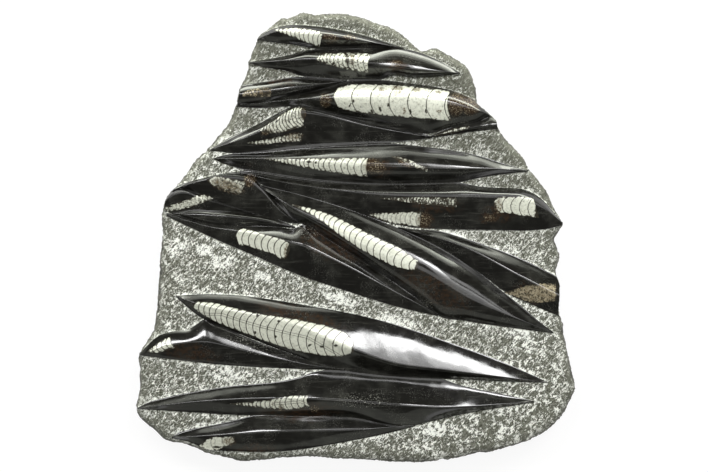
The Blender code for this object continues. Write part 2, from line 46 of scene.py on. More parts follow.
MM = 0.001
GROUND = 30.0                       # level of the pecked ground above the slab's back
VIEW_WIDTH = 531.0                  # mm across the picture, at the level of the pecked ground
VIEW_CENTRE = (-0.94, 1.1)
LENS = 100.0
SENSOR = 36.0
PAPER_SIZE = 5.0                    # metres, as the panels' and walls' sizes are
PAPER_GAP = 0.2                     # mm under the slab, so that the two never meet in one plane
PANEL_HEIGHT = 1.3
WALL_SPREAD = 1.9                   # a wall's length as a share of its distance
WALL_WHITE = (0.97, 1.0, 0.88)
PAPER_WHITE = 0.12
PAPER_GLOW = 0.90
PAPER_ROUGHNESS = 0.9
PAPER_IOR = 1.5
ROOM_DIM = (0.13, 0.13, 0.122)
ROOM_PALE = (0.96, 0.96, 0.95)
# Panels over the plate: their tilts from straight above towards +X and +Y, and their radiance.
PANELS = [
    ("left_softbox", (-44, -5), (29, 37), 22), ("softbox_gap", (-5, 9), (28, 37), 2.6),
    ("right_softbox", (15.5, 29), (27, 38), 22), ("right_softbox_start", (9, 15.5), (27, 38), 8),
    ("right_softbox_end", (29, 44), (27, 38), 3), ("right_softbox_edge", (15.5, 30), (22, 27), 9),
    ("right_softbox_fade", (9, 15.5), (22, 27), 4), ("right_veil", (9, 44), (15, 22), 4.0),
    ("right_haze", (9, 44), (6, 15), 2.0), ("overhead", (-40, 40), (-9, 6), 1.4),
]
# Walls round it: their bearing, distance and height in metres, and radiance.
WALLS = [
    ("far_wall", 90, 1.8, 0.62, 0.5), ("far_wall_foot", 90, 0.5, 0.09, 5.5),
    ("far_wall_step", 90, 0.52, 0.15, 3.2), ("far_wall_rise", 90, 0.54, 0.24, 1.5),
    ("near_wall", 270, 1.8, 0.75, 0.35), ("left_wall", 180, 1.8, 0.75, 0.6),
    ("right_wall", 0, 1.8, 0.75, 0.6),
]


class Value:
    """One output of a material's nodes, on which ordinary arithmetic can be written."""

    def __init__(self, shader, socket):
        self.shader = shader
        self.socket = socket

    def __add__(self, other):
        return self.shader.maths("ADD", self, other)

    def __sub__(self, other):
        return self.shader.maths("SUBTRACT", self, other)

    def __rsub__(self, other):
        return self.shader.maths("SUBTRACT", other, self)

    def __mul__(self, other):
        return self.shader.maths("MULTIPLY", self, other)

    def __truediv__(self, other):
        return self.shader.maths("DIVIDE", self, other)

    def __abs__(self):
        return self.shader.maths("ABSOLUTE", self)

    __radd__ = __add__
    __rmul__ = __mul__


class Shader:
    """A tree of shader nodes, written as expressions."""

    def __init__(self, tree):
        self.tree = tree

    def node(self, kind, settings=None, inputs=None, output=0):
        """Adds a node: its settings first, then its sockets' values or links."""
        node = self.tree.nodes.new("ShaderNode" + kind)
        for name, value in (settings or {}).items():
            setattr(node, name, value)
        for name, value in (inputs or {}).items():
            self.plug(node.inputs[name], value)
        return Value(self, node.outputs[output]) if node.outputs else None

    def plug(self, socket, value):
        if isinstance(value, Value):
            self.tree.links.new(value.socket, socket)
        elif socket.type == "RGBA":
            socket.default_value = (*value, 1.0)
        else:
            socket.default_value = value

    def maths(self, operation, first, second=0.0):
        return self.node("Math", {"operation": operation}, {0: first, 1: second})

    def vector(self, operation, first, second):
        return self.node("VectorMath", {"operation": operation}, {0: first, 1: second})


class Finish(Shader):
    """A material, on the shader that a new material has."""

    def __init__(self, name):
        self.material = bpy.data.materials.new(name)
        self.material.use_nodes = True
        super().__init__(self.material.node_tree)
        self.surface = Value(self, self.tree.nodes["Principled BSDF"].outputs[0])

    def set(self, name, value):
        """Sets or links one of the shader's own sockets."""
        self.plug(self.surface.socket.node.inputs[name], value)

    def cover(self, colour, roughness, ior):
        self.set("Base Color", colour)
        self.set("Roughness", roughness)
        self.set("IOR", ior)
        return self.material

    def scaled(self, place, size):
        """Places measured in units of the given size in millimetres, one number or three."""
        sizes = size if isinstance(size, tuple) else (size, size, size)
        return self.vector("MULTIPLY", place, tuple(1.0 / (s * MM) for s in sizes))

    def place(self):
        return self.node("TexCoord", output="Object")

    def attribute(self, name):
        return self.node("Attribute", {"attribute_name": name}, output="Fac")

    def noise(self, place, size, detail=2.0, rough=0.5, twist=0.0):
        """Soft noise around 0.5 with lumps of about the given size."""
        return self.node("TexNoise", {}, {"Vector": self.scaled(place, size), "Scale": 1.0,
                                          "Detail": detail, "Roughness": rough,
                                          "Distortion": twist})

    def ramp(self, value, low, high, start=0.0, end=1.0):
        """A smooth step from start to end as the value goes from low to high."""
        settings = {"interpolation_type": "SMOOTHSTEP"}
        return self.node("MapRange", settings, {"Value": value, "From Min": low, "From Max": high,
                                                "To Min": start, "To Max": end})

    def mix(self, share, first, second):
        """A colour between two, by a share from 0 to 1."""
        return self.node("Mix", {"data_type": "RGBA"}, {0: share, 6: first, 7: second}, 2)

    def wander(self, place, size, reach):
        """Places shifted about, so that the outlines drawn with them are ragged."""
        shift = self.node("TexNoise", {}, {"Vector": self.scaled(place, size), "Scale": 1.0,
                                           "Detail": 4.0, "Roughness": 0.65}, "Color")
        shift = self.vector("SUBTRACT", shift, (0.5, 0.5, 0.5))
        return self.vector("ADD", place, self.vector("MULTIPLY", shift, (reach * MM,) * 3))

    def patches(self, place, spots):
        """1 inside any of many ovals and 0 outside: place, half length, half width and turn."""
        nearest = 9.0
        for x, y, long, wide, turn in spots:
            inputs = {"Vector": place, "Location": (x * MM, y * MM, 0.0),
                      "Rotation": (0.0, 0.0, math.radians(turn)),
                      "Scale": (long * MM, wide * MM, 1.0)}
            local = self.node("Mapping", {"vector_type": "TEXTURE"}, inputs)
            away = self.node("VectorMath", {"operation": "LENGTH"}, {0: local}, "Value")
            nearest = self.maths("MINIMUM", nearest, away)
        return self.ramp(nearest, 0.6, 1.25, 1.0, 0.0)

    def bump(self, height, depth):
        """Feeds a relief of the given depth in millimetres to the shader's normal."""
        normal = self.node("Bump", {}, {"Height": height, "Distance": depth * MM, "Strength": 1.0},
                           output="Normal")
        self.set("Normal", normal)


def place_in_scene(name, data):
    obj = bpy.data.objects.new(name, data)
    bpy.context.scene.collection.objects.link(obj)
    return obj


def add_camera():
    data = bpy.data.cameras.new("camera")
    data.lens = LENS
    data.sensor_width = SENSOR
    camera = place_in_scene("camera", data)
    height = GROUND + VIEW_WIDTH * LENS / SENSOR
    camera.location = (VIEW_CENTRE[0] * MM, VIEW_CENTRE[1] * MM, height * MM)
    bpy.context.scene.camera = camera


def add_light(name, size, radiance, place):
    """A glowing rectangle that the camera doesn't see. Its light grows with its area."""
    data = bpy.data.lights.new(name, "AREA")
    data.shape = "RECTANGLE"
    data.size, data.size_y = size
    data.energy = math.pi * data.size * data.size_y * radiance
    light = place_in_scene(name, data)
    light.location = place
    light.visible_camera = False
    return light


def add_panel(name, x_range, y_range, radiance):
    """A soft panel level above the plate, between the given tilts from straight above, in degrees
    towards +X and towards +Y."""
    x1, x2 = [PANEL_HEIGHT * math.tan(math.radians(tilt)) for tilt in x_range]
    y1, y2 = [PANEL_HEIGHT * math.tan(math.radians(tilt)) for tilt in y_range]
    add_light(name, (x2 - x1, y2 - y1), radiance, ((x1 + x2) / 2, (y1 + y2) / 2, PANEL_HEIGHT))


def add_wall(name, bearing, distance, height, radiance):
    """A low white wall of the light tent on one side, given by its bearing from +X in degrees."""
    turn = math.radians(bearing)
    place = (distance * math.cos(turn), distance * math.sin(turn), height / 2)
    wall = add_light(name, (distance * WALL_SPREAD, height), radiance, place)
    wall.data.color = WALL_WHITE
    wall.rotation_euler = (math.pi / 2, 0.0, turn + math.pi / 2)


def white_paper():
    """Paper that glows a little, so that it stays white. From below it is clear, so that the
    slab's back can be looked at."""
    finish = Finish("white_paper")
    finish.cover((PAPER_WHITE,) * 3, PAPER_ROUGHNESS, PAPER_IOR)
    finish.set("Specular IOR Level", 0.0)
    finish.set("Emission Color", (1.0, 1.0, 1.0))
    finish.set("Emission Strength", PAPER_GLOW)
    below = finish.node("NewGeometry", output="Backfacing")
    clear = finish.node("BsdfTransparent")
    both = finish.node("MixShader", {}, {0: below, 1: finish.surface, 2: clear})
    finish.plug(finish.tree.nodes["Material Output"].inputs["Surface"], both)
    return finish.material


def add_paper():
    half, level = PAPER_SIZE / 2, -PAPER_GAP * MM
    corners = [(-half, -half, level), (half, -half, level),
               (half, half, level), (-half, half, level)]
    mesh = bpy.data.meshes.new("paper")
    mesh.from_pydata(corners, [], [(0, 1, 2, 3)])
    mesh.materials.append(white_paper())
    place_in_scene("paper", mesh)


def light_room():
    """The room is dim in reflections, and pale where the camera looks past the paper."""
    world = bpy.data.worlds.new("room")
    bpy.context.scene.world = world
    world.use_nodes = True
    world.node_tree.nodes.clear()
    room = Shader(world.node_tree)
    seen = room.node("LightPath", output="Is Camera Ray")
    dim = room.node("Background", {}, {"Color": ROOM_DIM})
    pale = room.node("Background", {}, {"Color": ROOM_PALE})
    both = room.node("MixShader", {}, {0: seen, 1: dim, 2: pale})
    room.node("OutputWorld", {}, {"Surface": both})


add_camera()
add_paper()
light_room()
for panel in PANELS:
    add_panel(*panel)
for wall in WALLS:
    add_wall(*wall)
bpy.context.scene.view_settings.view_transform = "Standard"

# ---------------------------------------------------------------------------------------------
# The slab. One broken piece of black fossil limestone, sawn flat behind, its sides left as they
# broke. The carver left long spindle ridges standing over the fossils and polished them, and
# pecked the ground between them down with a point chisel, which bruises the black stone white.

OUTLINE = [
    (-73.5, 148.5), (-69, 153.5), (-55, 164), (-50.5, 164), (-39, 168.5), (-30, 167), (-20.5, 168),
    (-4, 167), (24, 158), (34.5, 152.5), (48.5, 140), (58.5, 141.5), (63, 140.5), (76.5, 133),
    (84, 127), (89.5, 114.5), (90.5, 102.5), (93.5, 98.5), (105.5, 87.5), (107, 82), (112.5, 73.5),
    (126, 59.5), (130.5, 50.5), (143, 35), (147, 25), (155.5, 10.5), (149, -1), (153, -14),
    (150, -26.5), (153, -35), (152.5, -56.5), (155.5, -65.5), (155.5, -71), (163.5, -105.5),
    (164.5, -115), (159.5, -125), (155.5, -133), (143.5, -144.5), (129.5, -152.5), (116.5, -156.5),
    (101, -160.5), (91.5, -161), (75, -165.5), (46.5, -168.5), (12.5, -167), (-9, -166),
    (-34, -164), (-51, -164.5), (-78, -167.5), (-85, -167.5), (-95.5, -165.5), (-111, -162),
    (-127.5, -155), (-143.5, -151), (-161.5, -134.5), (-164.5, -127), (-161, -113), (-162, -89),
    (-151, -70), (-148.5, -55), (-147, -35.5), (-146.5, -18.5), (-144, 4), (-145, 15.5),
    (-141, 30.5), (-127.5, 46), (-120, 57.5), (-111, 66), (-96, 83.5), (-89.5, 98),
    (-86, 111.5), (-81, 122.5), (-79.5, 131.5),
]

# Each ridge in plan: its upper border, crest and lower border from left end to right end, how high
# its middle stands above the ground, and how round its back is: 1 is a sharp roof, 2 a barrel.
RIDGES = {
    "crown": {
        "upper": [(-73.5, 148.5), (-69, 152.5), (-56.5, 158), (-29.5, 158.5), (-7.5, 155),
                  (15, 149.5), (36.5, 142.5)],
        "crest": [(-73.5, 148.5), (-58, 154), (-41.5, 152.5), (-22.5, 151), (36.5, 142)],
        "lower": [(-73.5, 148), (-67.5, 147), (-43.5, 144), (-28, 141), (0, 141), (36.5, 141.5)],
        "height": 7.5, "round": 1.5},
    "second": {
        "upper": [(-79.5, 131.5), (-51, 136.5), (-37.5, 140), (-28, 141.4), (0, 142),
                  (18.5, 142.5), (33.5, 142), (70.5, 128.5), (78.5, 123.5)],
        "crest": [(-79.5, 131), (-19, 133), (41, 126), (78.5, 123)],
        "lower": [(-79.5, 130.5), (-70.5, 128), (-49, 124), (-41, 121.2), (-30, 119.4),
                  (-19, 118.6), (7.5, 117.8), (18.5, 118.2), (30.5, 121.5), (40.5, 120),
                  (52.5, 120), (71, 121.5), (78.5, 122.5)],
        "height": 9.5, "round": 1.5, "fullness": 0.65},
    "third_west": {
        "upper": [(-90, 112), (-84, 114.5), (-75, 116), (-64, 117.5), (-43, 120.5), (-30, 120),
                  (-6, 118.5)],
        "crest": [(-90, 106.5), (-60, 110), (-6, 117.5)],
        "lower": [(-90, 99.5), (-80.5, 99.5), (-73, 100), (-60, 103), (-19, 112.5), (-6, 116.5)],
        "height": 5.5, "round": 1.6},
    "third": {
        "upper": [(-91, 100), (-73, 101.5), (-60, 104), (-34, 109.5), (-19, 113), (-6, 117.5),
                  (7.5, 118.5), (41, 115.5), (80, 107.5), (90, 103), (97.5, 97.5), (102, 92)],
        "crest": [(-91, 99), (-30, 104), (15, 104), (69, 101), (102, 91.5)],
        "lower": [(-91, 98), (-70, 97), (-52.5, 98), (-43, 98), (-34, 96), (-19, 92.5), (26, 82),
                  (41, 79), (52.5, 77.5), (71, 82), (93.5, 87), (102, 91)],
        "height": 12.5, "round": 1.8},
    "third_tail": {
        "upper": [(56, 76), (71, 82.5), (93.5, 87.5), (102, 91), (108, 88.5)],
        "crest": [(56, 75.5), (78.5, 81), (108, 85)],
        "lower": [(56, 75), (63.5, 75.5), (82.5, 78.5), (108, 81.5)],
        "height": 3.5, "round": 1.6},
    "fourth": {
        "upper": [(-109, 66), (-92.5, 76), (-73, 85), (-56.5, 94), (-43, 99.5), (-35.5, 97.5),
                  (-4, 89.5), (26, 83), (52.5, 77.5), (57.5, 75.5)],
        "crest": [(-109, 65.5), (-70, 80), (-45, 94.5), (-34, 94), (11, 83.5), (57.5, 75)],
        "lower": [(-109, 65), (-101.5, 64.2), (-90, 62.7), (-70, 63.6), (-41.5, 66.6), (-4, 69.2),
                  (24, 70.8), (57.5, 74.5)],
        "height": 8.5, "round": 1.5},
    "fifth": {
        "upper": [(-106, 59.5), (-101.5, 61), (-94, 62.6), (-86, 63.3), (-70, 64.1), (-41.5, 67.1),
                  (-4, 69.7), (24, 71), (33.5, 70), (93.5, 61), (116, 54), (129.5, 50.5)],
        "crest": [(-106, 59), (-67.5, 59), (-20, 56), (33.5, 53), (75, 51.5), (101, 51.5),
                  (129.5, 50)],
        "lower": [(-106, 58.5), (-101.5, 56.5), (-86.5, 51.5), (-64, 47.6), (-34, 43.5),
                  (-4, 40.8), (15, 39.9), (41, 39.9), (60, 40.3), (78, 41.2), (92, 44.5),
                  (129.5, 49.5)],
        "height": 9.5, "round": 1.6},
    "sixth": {
        "upper": [(-86.5, 50.3), (-80, 50.4), (-64, 48.1), (-34, 44), (-4, 41.3), (15, 40.4),
                  (41, 40.4), (60, 40.8), (78, 41.2), (92, 38.4), (101, 37.6), (116, 37),
                  (125, 36.5), (139.5, 29), (150.5, 17), (156.5, 10.5)],
        "crest": [(-86.5, 48.5), (-56.5, 42), (3.5, 34), (60, 32), (101, 31.5), (125, 29.5),
                  (142.5, 21), (156.5, 10)],
        "lower": [(-86.5, 47.5), (-79, 44.5), (-70, 39.5), (-56.5, 35.5), (-26.5, 28), (3.5, 17.5),
                  (15, 13.5), (37.5, 8.5), (48.5, 7), (57.5, 6.5), (101, 5.5), (135, 5.5),
                  (144.5, 6.5), (156.5, 9.5)],
        "height": 8.5, "round": 1.5},
    "west_upper": {
        "upper": [(-142, 33.5), (-131.5, 39.5), (-116.5, 44), (-98.5, 48), (-86.5, 49),
                  (-79, 46.5), (-72, 40.5), (-56.5, 23.5), (-49, 16), (-42, 11)],
        "crest": [(-142, 33), (-127.5, 39), (-110, 44), (-90, 46), (-79, 43.5), (-70, 36),
                  (-56.5, 20.5), (-42, 10.5)],
        "lower": [(-142, 31), (-130, 36), (-118, 31.5), (-100, 24.5), (-64, 14.5),
                  (-52.5, 11.5), (-42, 10)],
        "height": 7.0, "round": 1.5},
    "west_small": {
        "upper": [(-144, 28), (-139, 33.5), (-134.5, 36), (-130, 37), (-118, 32.5), (-109, 29),
                  (-86.5, 21.5), (-73, 17.5)],
        "crest": [(-144, 25), (-134.5, 33), (-127, 34), (-116.5, 30), (-101.5, 25.5), (-73, 17)],
        "lower": [(-144, 21.5), (-139, 18.5), (-124, 20.5), (-73, 16.5)],
        "height": 5.5, "round": 1.6},
    "west_sliver": {
        "upper": [(-137.5, 18.5), (-124, 21.5), (-105, 21), (-86.5, 19), (-56.5, 13), (-45, 8)],
        "crest": [(-137.5, 18), (-71.5, 13), (-45, 7.5)],
        "lower": [(-137.5, 17.5), (-105, 8.5), (-67.5, 8.5), (-45, 7)],
        "height": 4.0, "round": 1.6},
    "west_long": {
        "upper": [(-141.5, 18.5), (-127.5, 15.5), (-105, 9.5), (-86.5, 9), (-56.5, 8), (-45, 7),
                  (-39, 10), (-26.5, 3), (-11.5, -6.5), (3.5, -15.5), (33.5, -36.5), (62, -56.5)],
        "crest": [(-141.5, 17.5), (-110, 8.5), (-87, 5), (-62, 0), (-40, -5.5), (-11.5, -18.5),
                  (33.5, -42.5), (62, -57.5)],
        "lower": [(-141.5, 16), (-109, 0.5), (-75, -14), (-41.5, -28.5), (-11.5, -38.5),
                  (33.5, -52.5), (62, -59)],
        "height": 9.0, "round": 1.25},
    "diagonal": {
        "upper": [(-73, 40), (-41.5, 32.5), (15, 14), (60, -5.5), (86, -21), (110, -40),
                  (124, -51), (138, -63), (148.5, -71)],
        "crest": [(-73, 39), (-46.5, 22), (-4, 0), (32, -16), (48.5, -22.5), (87.5, -46),
                  (124, -62), (148.5, -71.5)],
        "lower": [(-73, 38), (-64, 30.5), (-49, 14.5), (-39, 9.5), (-26.5, 2), (18.5, -27),
                  (48.5, -48), (62, -58.5), (82.5, -62.5), (148.5, -72)],
        "height": 12.5, "round": 1.9},
    "east": {
        "upper": [(32, 8), (41, 6.5), (65, 4.5), (78.5, 0.5), (93.5, -4.5), (123.5, -15.5),
                  (155, -31)],
        "crest": [(32, 7.5), (84, -8), (123.5, -29), (155, -45)],
        "lower": [(32, 7), (71, -12.5), (101, -32.5), (112.5, -41), (135, -51.5), (155, -60)],
        "height": 7.5, "round": 1.2},
    "great": {
        "upper": [(-134.5, -43.5), (-112.5, -42.5), (-86.5, -43.5), (-41.5, -50), (18.5, -62),
                  (78.5, -81.5), (108.5, -92.5), (144, -108)],
        "crest": [(-134.5, -44), (-116.5, -50), (-94, -54.5), (-49, -63.5), (-4, -83), (30, -95),
                  (60, -99), (86, -102), (112.5, -105), (144, -108.5)],
        "lower": [(-134.5, -44.5), (-129, -49.5), (-116.5, -59.5), (-109, -63.5), (-86.5, -72.5),
                  (-19, -97), (-7.5, -100.2), (10, -102.6), (41, -105.2), (58, -106), (75, -106.2),
                  (108.5, -108), (144, -109)],
        "height": 11.2, "round": 1.1, "fullness": 0.7},
    "west_lower": {
        "upper": [(-161.5, -87.5), (-156, -81), (-150, -75.5), (-135, -70), (-126, -69),
                  (-119.5, -65.5), (-114, -61.5), (-105, -65), (-64, -81.5), (-19, -96),
                  (-7.5, -98)],
        "crest": [(-161.5, -88), (-140, -81), (-112.5, -78), (-79, -85.5), (-34, -95.5),
                  (-7.5, -99)],
        "lower": [(-161.5, -88.5), (-105, -95), (-7.5, -100)],
        "height": 7.0, "round": 1.2, "fullness": 0.6},
    "south": {
        "upper": [(-163, -127.5), (-154, -123), (-142.5, -120), (-101.5, -112.5), (-41.5, -104.5),
                  (-30, -100.6), (-19, -99), (-7.5, -99.6), (10, -102), (41, -104.6), (58, -105.4),
                  (66, -106.3), (75, -109.5), (108.5, -117), (134, -122.5)],
        "crest": [(-163, -128), (-116.5, -122.5), (-56.5, -120), (33.5, -125), (61.5, -127),
                  (134, -123)],
        "lower": [(-163, -128.5), (-79, -133.5), (-41.5, -134.5), (-19, -134.5), (-4, -135.5),
                  (37.5, -143), (48.5, -140), (78.5, -133), (134, -123.5)],
        "height": 11.0, "round": 1.15},
    "south_front": {
        "upper": [(-137.5, -149.5), (-131.5, -146), (-124, -144), (-101.5, -139.5), (-86, -135.8),
                  (-78, -133.6), (-60, -133.4), (-41.5, -134), (-4, -133.5), (26, -137.5),
                  (45, -139.5)],
        "crest": [(-137.5, -150), (-41.5, -144.5), (-11.5, -144.5), (45, -140.5)],
        "lower": [(-137.5, -150.5), (-127.5, -152.5), (-110.5, -158.5), (-86.5, -160.5),
                  (-56.5, -160.5), (-11.5, -154), (33.5, -144.5), (45, -141.5)],
        "height": 7.5, "round": 1.3},
}

BORDER_RISE = 0.8                   # a ridge's polished border stands this far above the ground
FLANK_FULLNESS = 0.9                # below 1 a flank ends steep, where the ground is pecked away
VALLEY_FULLNESS = 1.35              # above 1 it runs out in a hollow, where it is polished on
VALLEY_EASE = 12.0
# Where two ridges meet in a polished valley with no pecked ground in it: the ridge below, the ridge
# above, and from where to where.
VALLEYS = [
    ("second", "crown", -27, 15), ("third_west", "second", -41, -8), ("third", "second", -8, 24),
    ("fourth", "third", -36, 50), ("fifth", "fourth", -86, 30), ("sixth", "fifth", -86, 82),
    ("south", "great", -27, 72),
]
TIP_WIDTH = 0.2                     # where a ridge is this share of its width, its back is sharp
BACK_WIDTH = 0.85                   # and from this share on it is as round as stated
WIDTH_TO_HEIGHT = 0.8
FOOT_HOLLOW = 1.2                   # radius of the polished hollow along a ridge's foot
SKIRT_DROP = 1.6                    # below its border a ridge spreads into the ground
SKIRT_SPREAD = 1.4
RIDGE_ROOT = 20.0
RIDGE_STATION = 2.4
# Fractions of the way from a ridge's crest to its border, closer together near the border.
CROSS_STEPS = [0.0, 0.08, 0.18, 0.29, 0.40, 0.51, 0.61, 0.70, 0.78, 0.85, 0.905, 0.945, 0.97, 0.986,
               0.995, 1.0]
# Unevenness left by polishing by hand: wavelength, direction in degrees, depth and phase.
POLISH_WAVES = [(31, 12, 0.06, 0.3), (19, 68, 0.02, 1.9), (13.7, 151, 0.012, 4.4),
                (9.1, 104, 0.007, 2.7), (7.3, 33, 0.004, 5.2)]

SIDE_STEP = 1.5                     # spacing of the points round the slab
# The sides' profile, from the back up: height and distance inward from the outline.
SIDE_PROFILE = [(0, 3.4), (9, 0.4), (19, -1.4), (25, -1.0), (27.6, 0.2), (29.3, 2.2), (30, 4.6)]
SIDE_ROWS = 22
FULL_SIDE = 0.4                     # what the flakes and chips are taken from stands this far out
RIM_ROWS = 4                        # the uppermost rows are pecked, not broken
RIM_BREAK = 0.4                     # ridge ends are broken off this far inside the outline
GROUND_SWELL = 0.5
PECK_STEP = 1.05                    # spacing of the pecked ground's points
PECK_REACH = 170.0
HIDDEN_GAP = 2.0                    # this far inside a ridge's border the ground is never seen,
HIDDEN_SHARE = 41                   # so one point in so many is enough there
SUNK_GAP = 1.5                      # and from here on it is sunk, clear of the ridge's foot
SUNK_DEPTH = 3.0
BORDER_CLEAR = 0.3                  # at a border it stays this far below the polished edge,
CLEAR_SLOPE = 0.4                   # and less so further away
CHISEL_ANGLE = 48.0                 # direction of the chisel strokes, in degrees
CHISEL_DEPTH = 0.30
LUMP_DEPTH = 0.25
TRIM_BOTTOM = -5.0
RIDGE_TOP = 60.0                    # above every ridge
FAR = 1000.0
CURVE_SAMPLES = 60                  # points along a border where its curve is measured


def smooth_curve(points, x):
    """Height of a smooth curve through the points, which run from left to right, at each x."""
    px, py = np.array(points, dtype=float).T
    span = np.diff(px)
    slope = np.diff(py) / span
    tangent = np.empty(len(px))
    tangent[0] = slope[0]
    tangent[-1] = slope[-1]
    tangent[1:-1] = (slope[:-1] * span[1:] + slope[1:] * span[:-1]) / (span[1:] + span[:-1])
    x = np.clip(x, px[0], px[-1])
    i = np.clip(np.searchsorted(px, x) - 1, 0, len(px) - 2)
    t = (x - px[i]) / span[i]
    rise = py[i] * (1 + 2 * t) * (1 - t) ** 2 + py[i + 1] * t ** 2 * (3 - 2 * t)
    bend = tangent[i] * t * (1 - t) ** 2 + tangent[i + 1] * t ** 2 * (t - 1)
    return rise + span[i] * bend


def ends_of(ridge):
    return ridge["upper"][0][0], ridge["upper"][-1][0]


def borders_at(ridge, x):
    return smooth_curve(ridge["upper"], x), smooth_curve(ridge["lower"], x)


def polish_waves(x, y):
    total = 0.0
    for length, angle, depth, phase in POLISH_WAVES:
        turn = math.radians(angle)
        along = x * math.cos(turn) + y * math.sin(turn)
        total = total + depth * np.sin(2 * math.pi * along / length + phase)
    return total


def ease(value, low, high):
    """A smooth step from 0 to 1 as the value goes from low to high."""
    t = np.clip((value - low) / (high - low), 0.0, 1.0)
    return t * t * (3 - 2 * t)


def width_share(ridge, x):
    """The ridge's width at x as a share of its greatest width."""
    widest = np.max(np.subtract(*borders_at(ridge, np.linspace(*ends_of(ridge), CURVE_SAMPLES))))
    return np.clip(np.subtract(*borders_at(ridge, x)) / widest, 0.0, 1.0)


def add_valleys():
    """Notes with each ridge where its upper and lower flanks run out into polished valleys."""
    for ridge in RIDGES.values():
        ridge["valleys"] = {"upper": [], "lower": []}
    for below, above, first, last in VALLEYS:
        RIDGES[below]["valleys"]["upper"].append((first, last))
        RIDGES[above]["valleys"]["lower"].append((first, last))


def valley_share(ridge, side, x):
    share = np.zeros(len(x))
    for first, last in ridge["valleys"][side]:
        begun = ease(x, first - VALLEY_EASE, first + VALLEY_EASE)
        ended = ease(x, last - VALLEY_EASE, last + VALLEY_EASE)
        share = np.maximum(share, begun * (1 - ended))
    return share


def ridge_rise(ridge, x, q, above):
    """Height over the borders at x, the fraction q of the way from the crest to a border. Above
    says on which side of the crest."""
    share = width_share(ridge, x)
    crest = ridge["height"] * share ** WIDTH_TO_HEIGHT
    roundness = 1 + (ridge["round"] - 1) * ease(share, TIP_WIDTH, BACK_WIDTH)
    valley = np.where(above, valley_share(ridge, "upper", x), valley_share(ridge, "lower", x))
    fullness = ridge.get("fullness", FLANK_FULLNESS)
    fullness = fullness + (VALLEY_FULLNESS - fullness) * valley
    flank = crest * np.clip(1.0 - q ** roundness, 0.0, 1.0) ** fullness
    footed = np.sqrt(flank ** 2 + FOOT_HOLLOW ** 2) - FOOT_HOLLOW
    whole = np.sqrt(crest ** 2 + FOOT_HOLLOW ** 2) - FOOT_HOLLOW
    return footed * crest / np.maximum(whole, 1e-6)


def ridge_level(ridge, x, y):
    """Level of the ridge's polished surface over plan points, far down where there is no ridge."""
    first, last = ends_of(ridge)
    crest = smooth_curve(ridge["crest"], x)
    upper, lower = borders_at(ridge, x)
    reach = np.where(y > crest, upper - crest, crest - lower)
    q = np.abs(y - crest) / np.maximum(reach, 0.05)
    within = (q <= 1.02) & (x >= first) & (x <= last)
    q = np.clip(q, 0.0, 1.0)
    wave = polish_waves(x, y) * np.clip((1.0 - q) * 3.0, 0.0, 1.0)
    level = GROUND + BORDER_RISE + ridge_rise(ridge, x, q, y > crest) + wave
    return np.where(within, level, -FAR)


def border_gap(x, y):
    """Distance in plan from each point to the nearest ridge, below 0 inside one."""
    nearest = np.full(len(x), FAR)
    for ridge in RIDGES.values():
        first, last = ends_of(ridge)
        beyond = np.maximum(np.maximum(first - x, x - last), 0.0)
        upper, lower = borders_at(ridge, x)
        beside = np.maximum(y - upper, lower - y)
        gap = np.where(beyond > 0, np.hypot(beyond, np.maximum(beside, 0.0)), beside)
        nearest = np.minimum(nearest, gap)
    return nearest


def outline_gap(x, y):
    """Distance in plan from each point to the slab's outline."""
    nearest = np.full(len(x), FAR)
    for (x1, y1), (x2, y2) in zip(OUTLINE, OUTLINE[1:] + OUTLINE[:1]):
        run, rise = x2 - x1, y2 - y1
        t = np.clip(((x - x1) * run + (y - y1) * rise) / (run * run + rise * rise), 0.0, 1.0)
        nearest = np.minimum(nearest, np.hypot(x - x1 - t * run, y - y1 - t * rise))
    return nearest


def headings(points, spread):
    """The unit direction at each point of a closed row, from those a few places to its sides."""
    ahead = np.roll(points, -spread, axis=0) - np.roll(points, spread, axis=0)
    return ahead / np.linalg.norm(ahead, axis=1)[:, None]


def inset_outline(distance):
    """The slab's outline moved inward, along directions averaged over each point's neighbours."""
    points = np.array(OUTLINE, dtype=float)
    ahead = headings(points, 2)
    return points + np.column_stack([ahead[:, 1], -ahead[:, 0]]) * distance


def closed_curve(points):
    """A closed smooth curve through the points, in even steps."""
    corners = np.array(OUTLINE, dtype=float)
    spans = np.linalg.norm(np.roll(corners, -1, axis=0) - corners, axis=1)
    before = np.roll(points, 1, axis=0)
    after = np.roll(points, -1, axis=0)
    beyond = np.roll(points, -2, axis=0)
    places = []
    for k, span in enumerate(spans):
        count = max(2, round(span / SIDE_STEP))
        t = (np.arange(count) / count)[:, None]
        out = (after[k] - before[k]) * 0.3
        into = (beyond[k] - points[k]) * 0.3
        places.append(points[k] * (1 + 2 * t) * (1 - t) ** 2 + after[k] * t ** 2 * (3 - 2 * t)
                      + out * t * (1 - t) ** 2 + into * t ** 2 * (t - 1))
    return np.concatenate(places)


def inside_outline(x, y, outline):
    """Which of many plan points lie inside a closed outline."""
    within = np.zeros(len(x), dtype=bool)
    for (x1, y1), (x2, y2) in zip(outline, np.roll(outline, -1, axis=0)):
        if y1 != y2:
            crosses = (y1 > y) != (y2 > y)
            within ^= crosses & (x < x1 + (y - y1) * (x2 - x1) / (y2 - y1))
    return within


def rough(x, y, z, size):
    """Smooth noise between -1 and 1 with lumps of about the given size."""
    return noise.noise(Vector((x / size, y / size, z / size)))


def broken(x, y, z, outward, strength):
    """A point of the broken side, moved in by flakes, chips and grain."""
    flake = abs(rough(x, y, z * 0.6, 26.0))
    chip = abs(rough(x + 90, y, z, 5.5)) * 2.5
    grain = abs(rough(x, y + 90, z, 2.4)) * 1.4
    push = (FULL_SIDE - flake - chip - grain) * strength
    return (x + outward[0] * push, y + outward[1] * push, z)


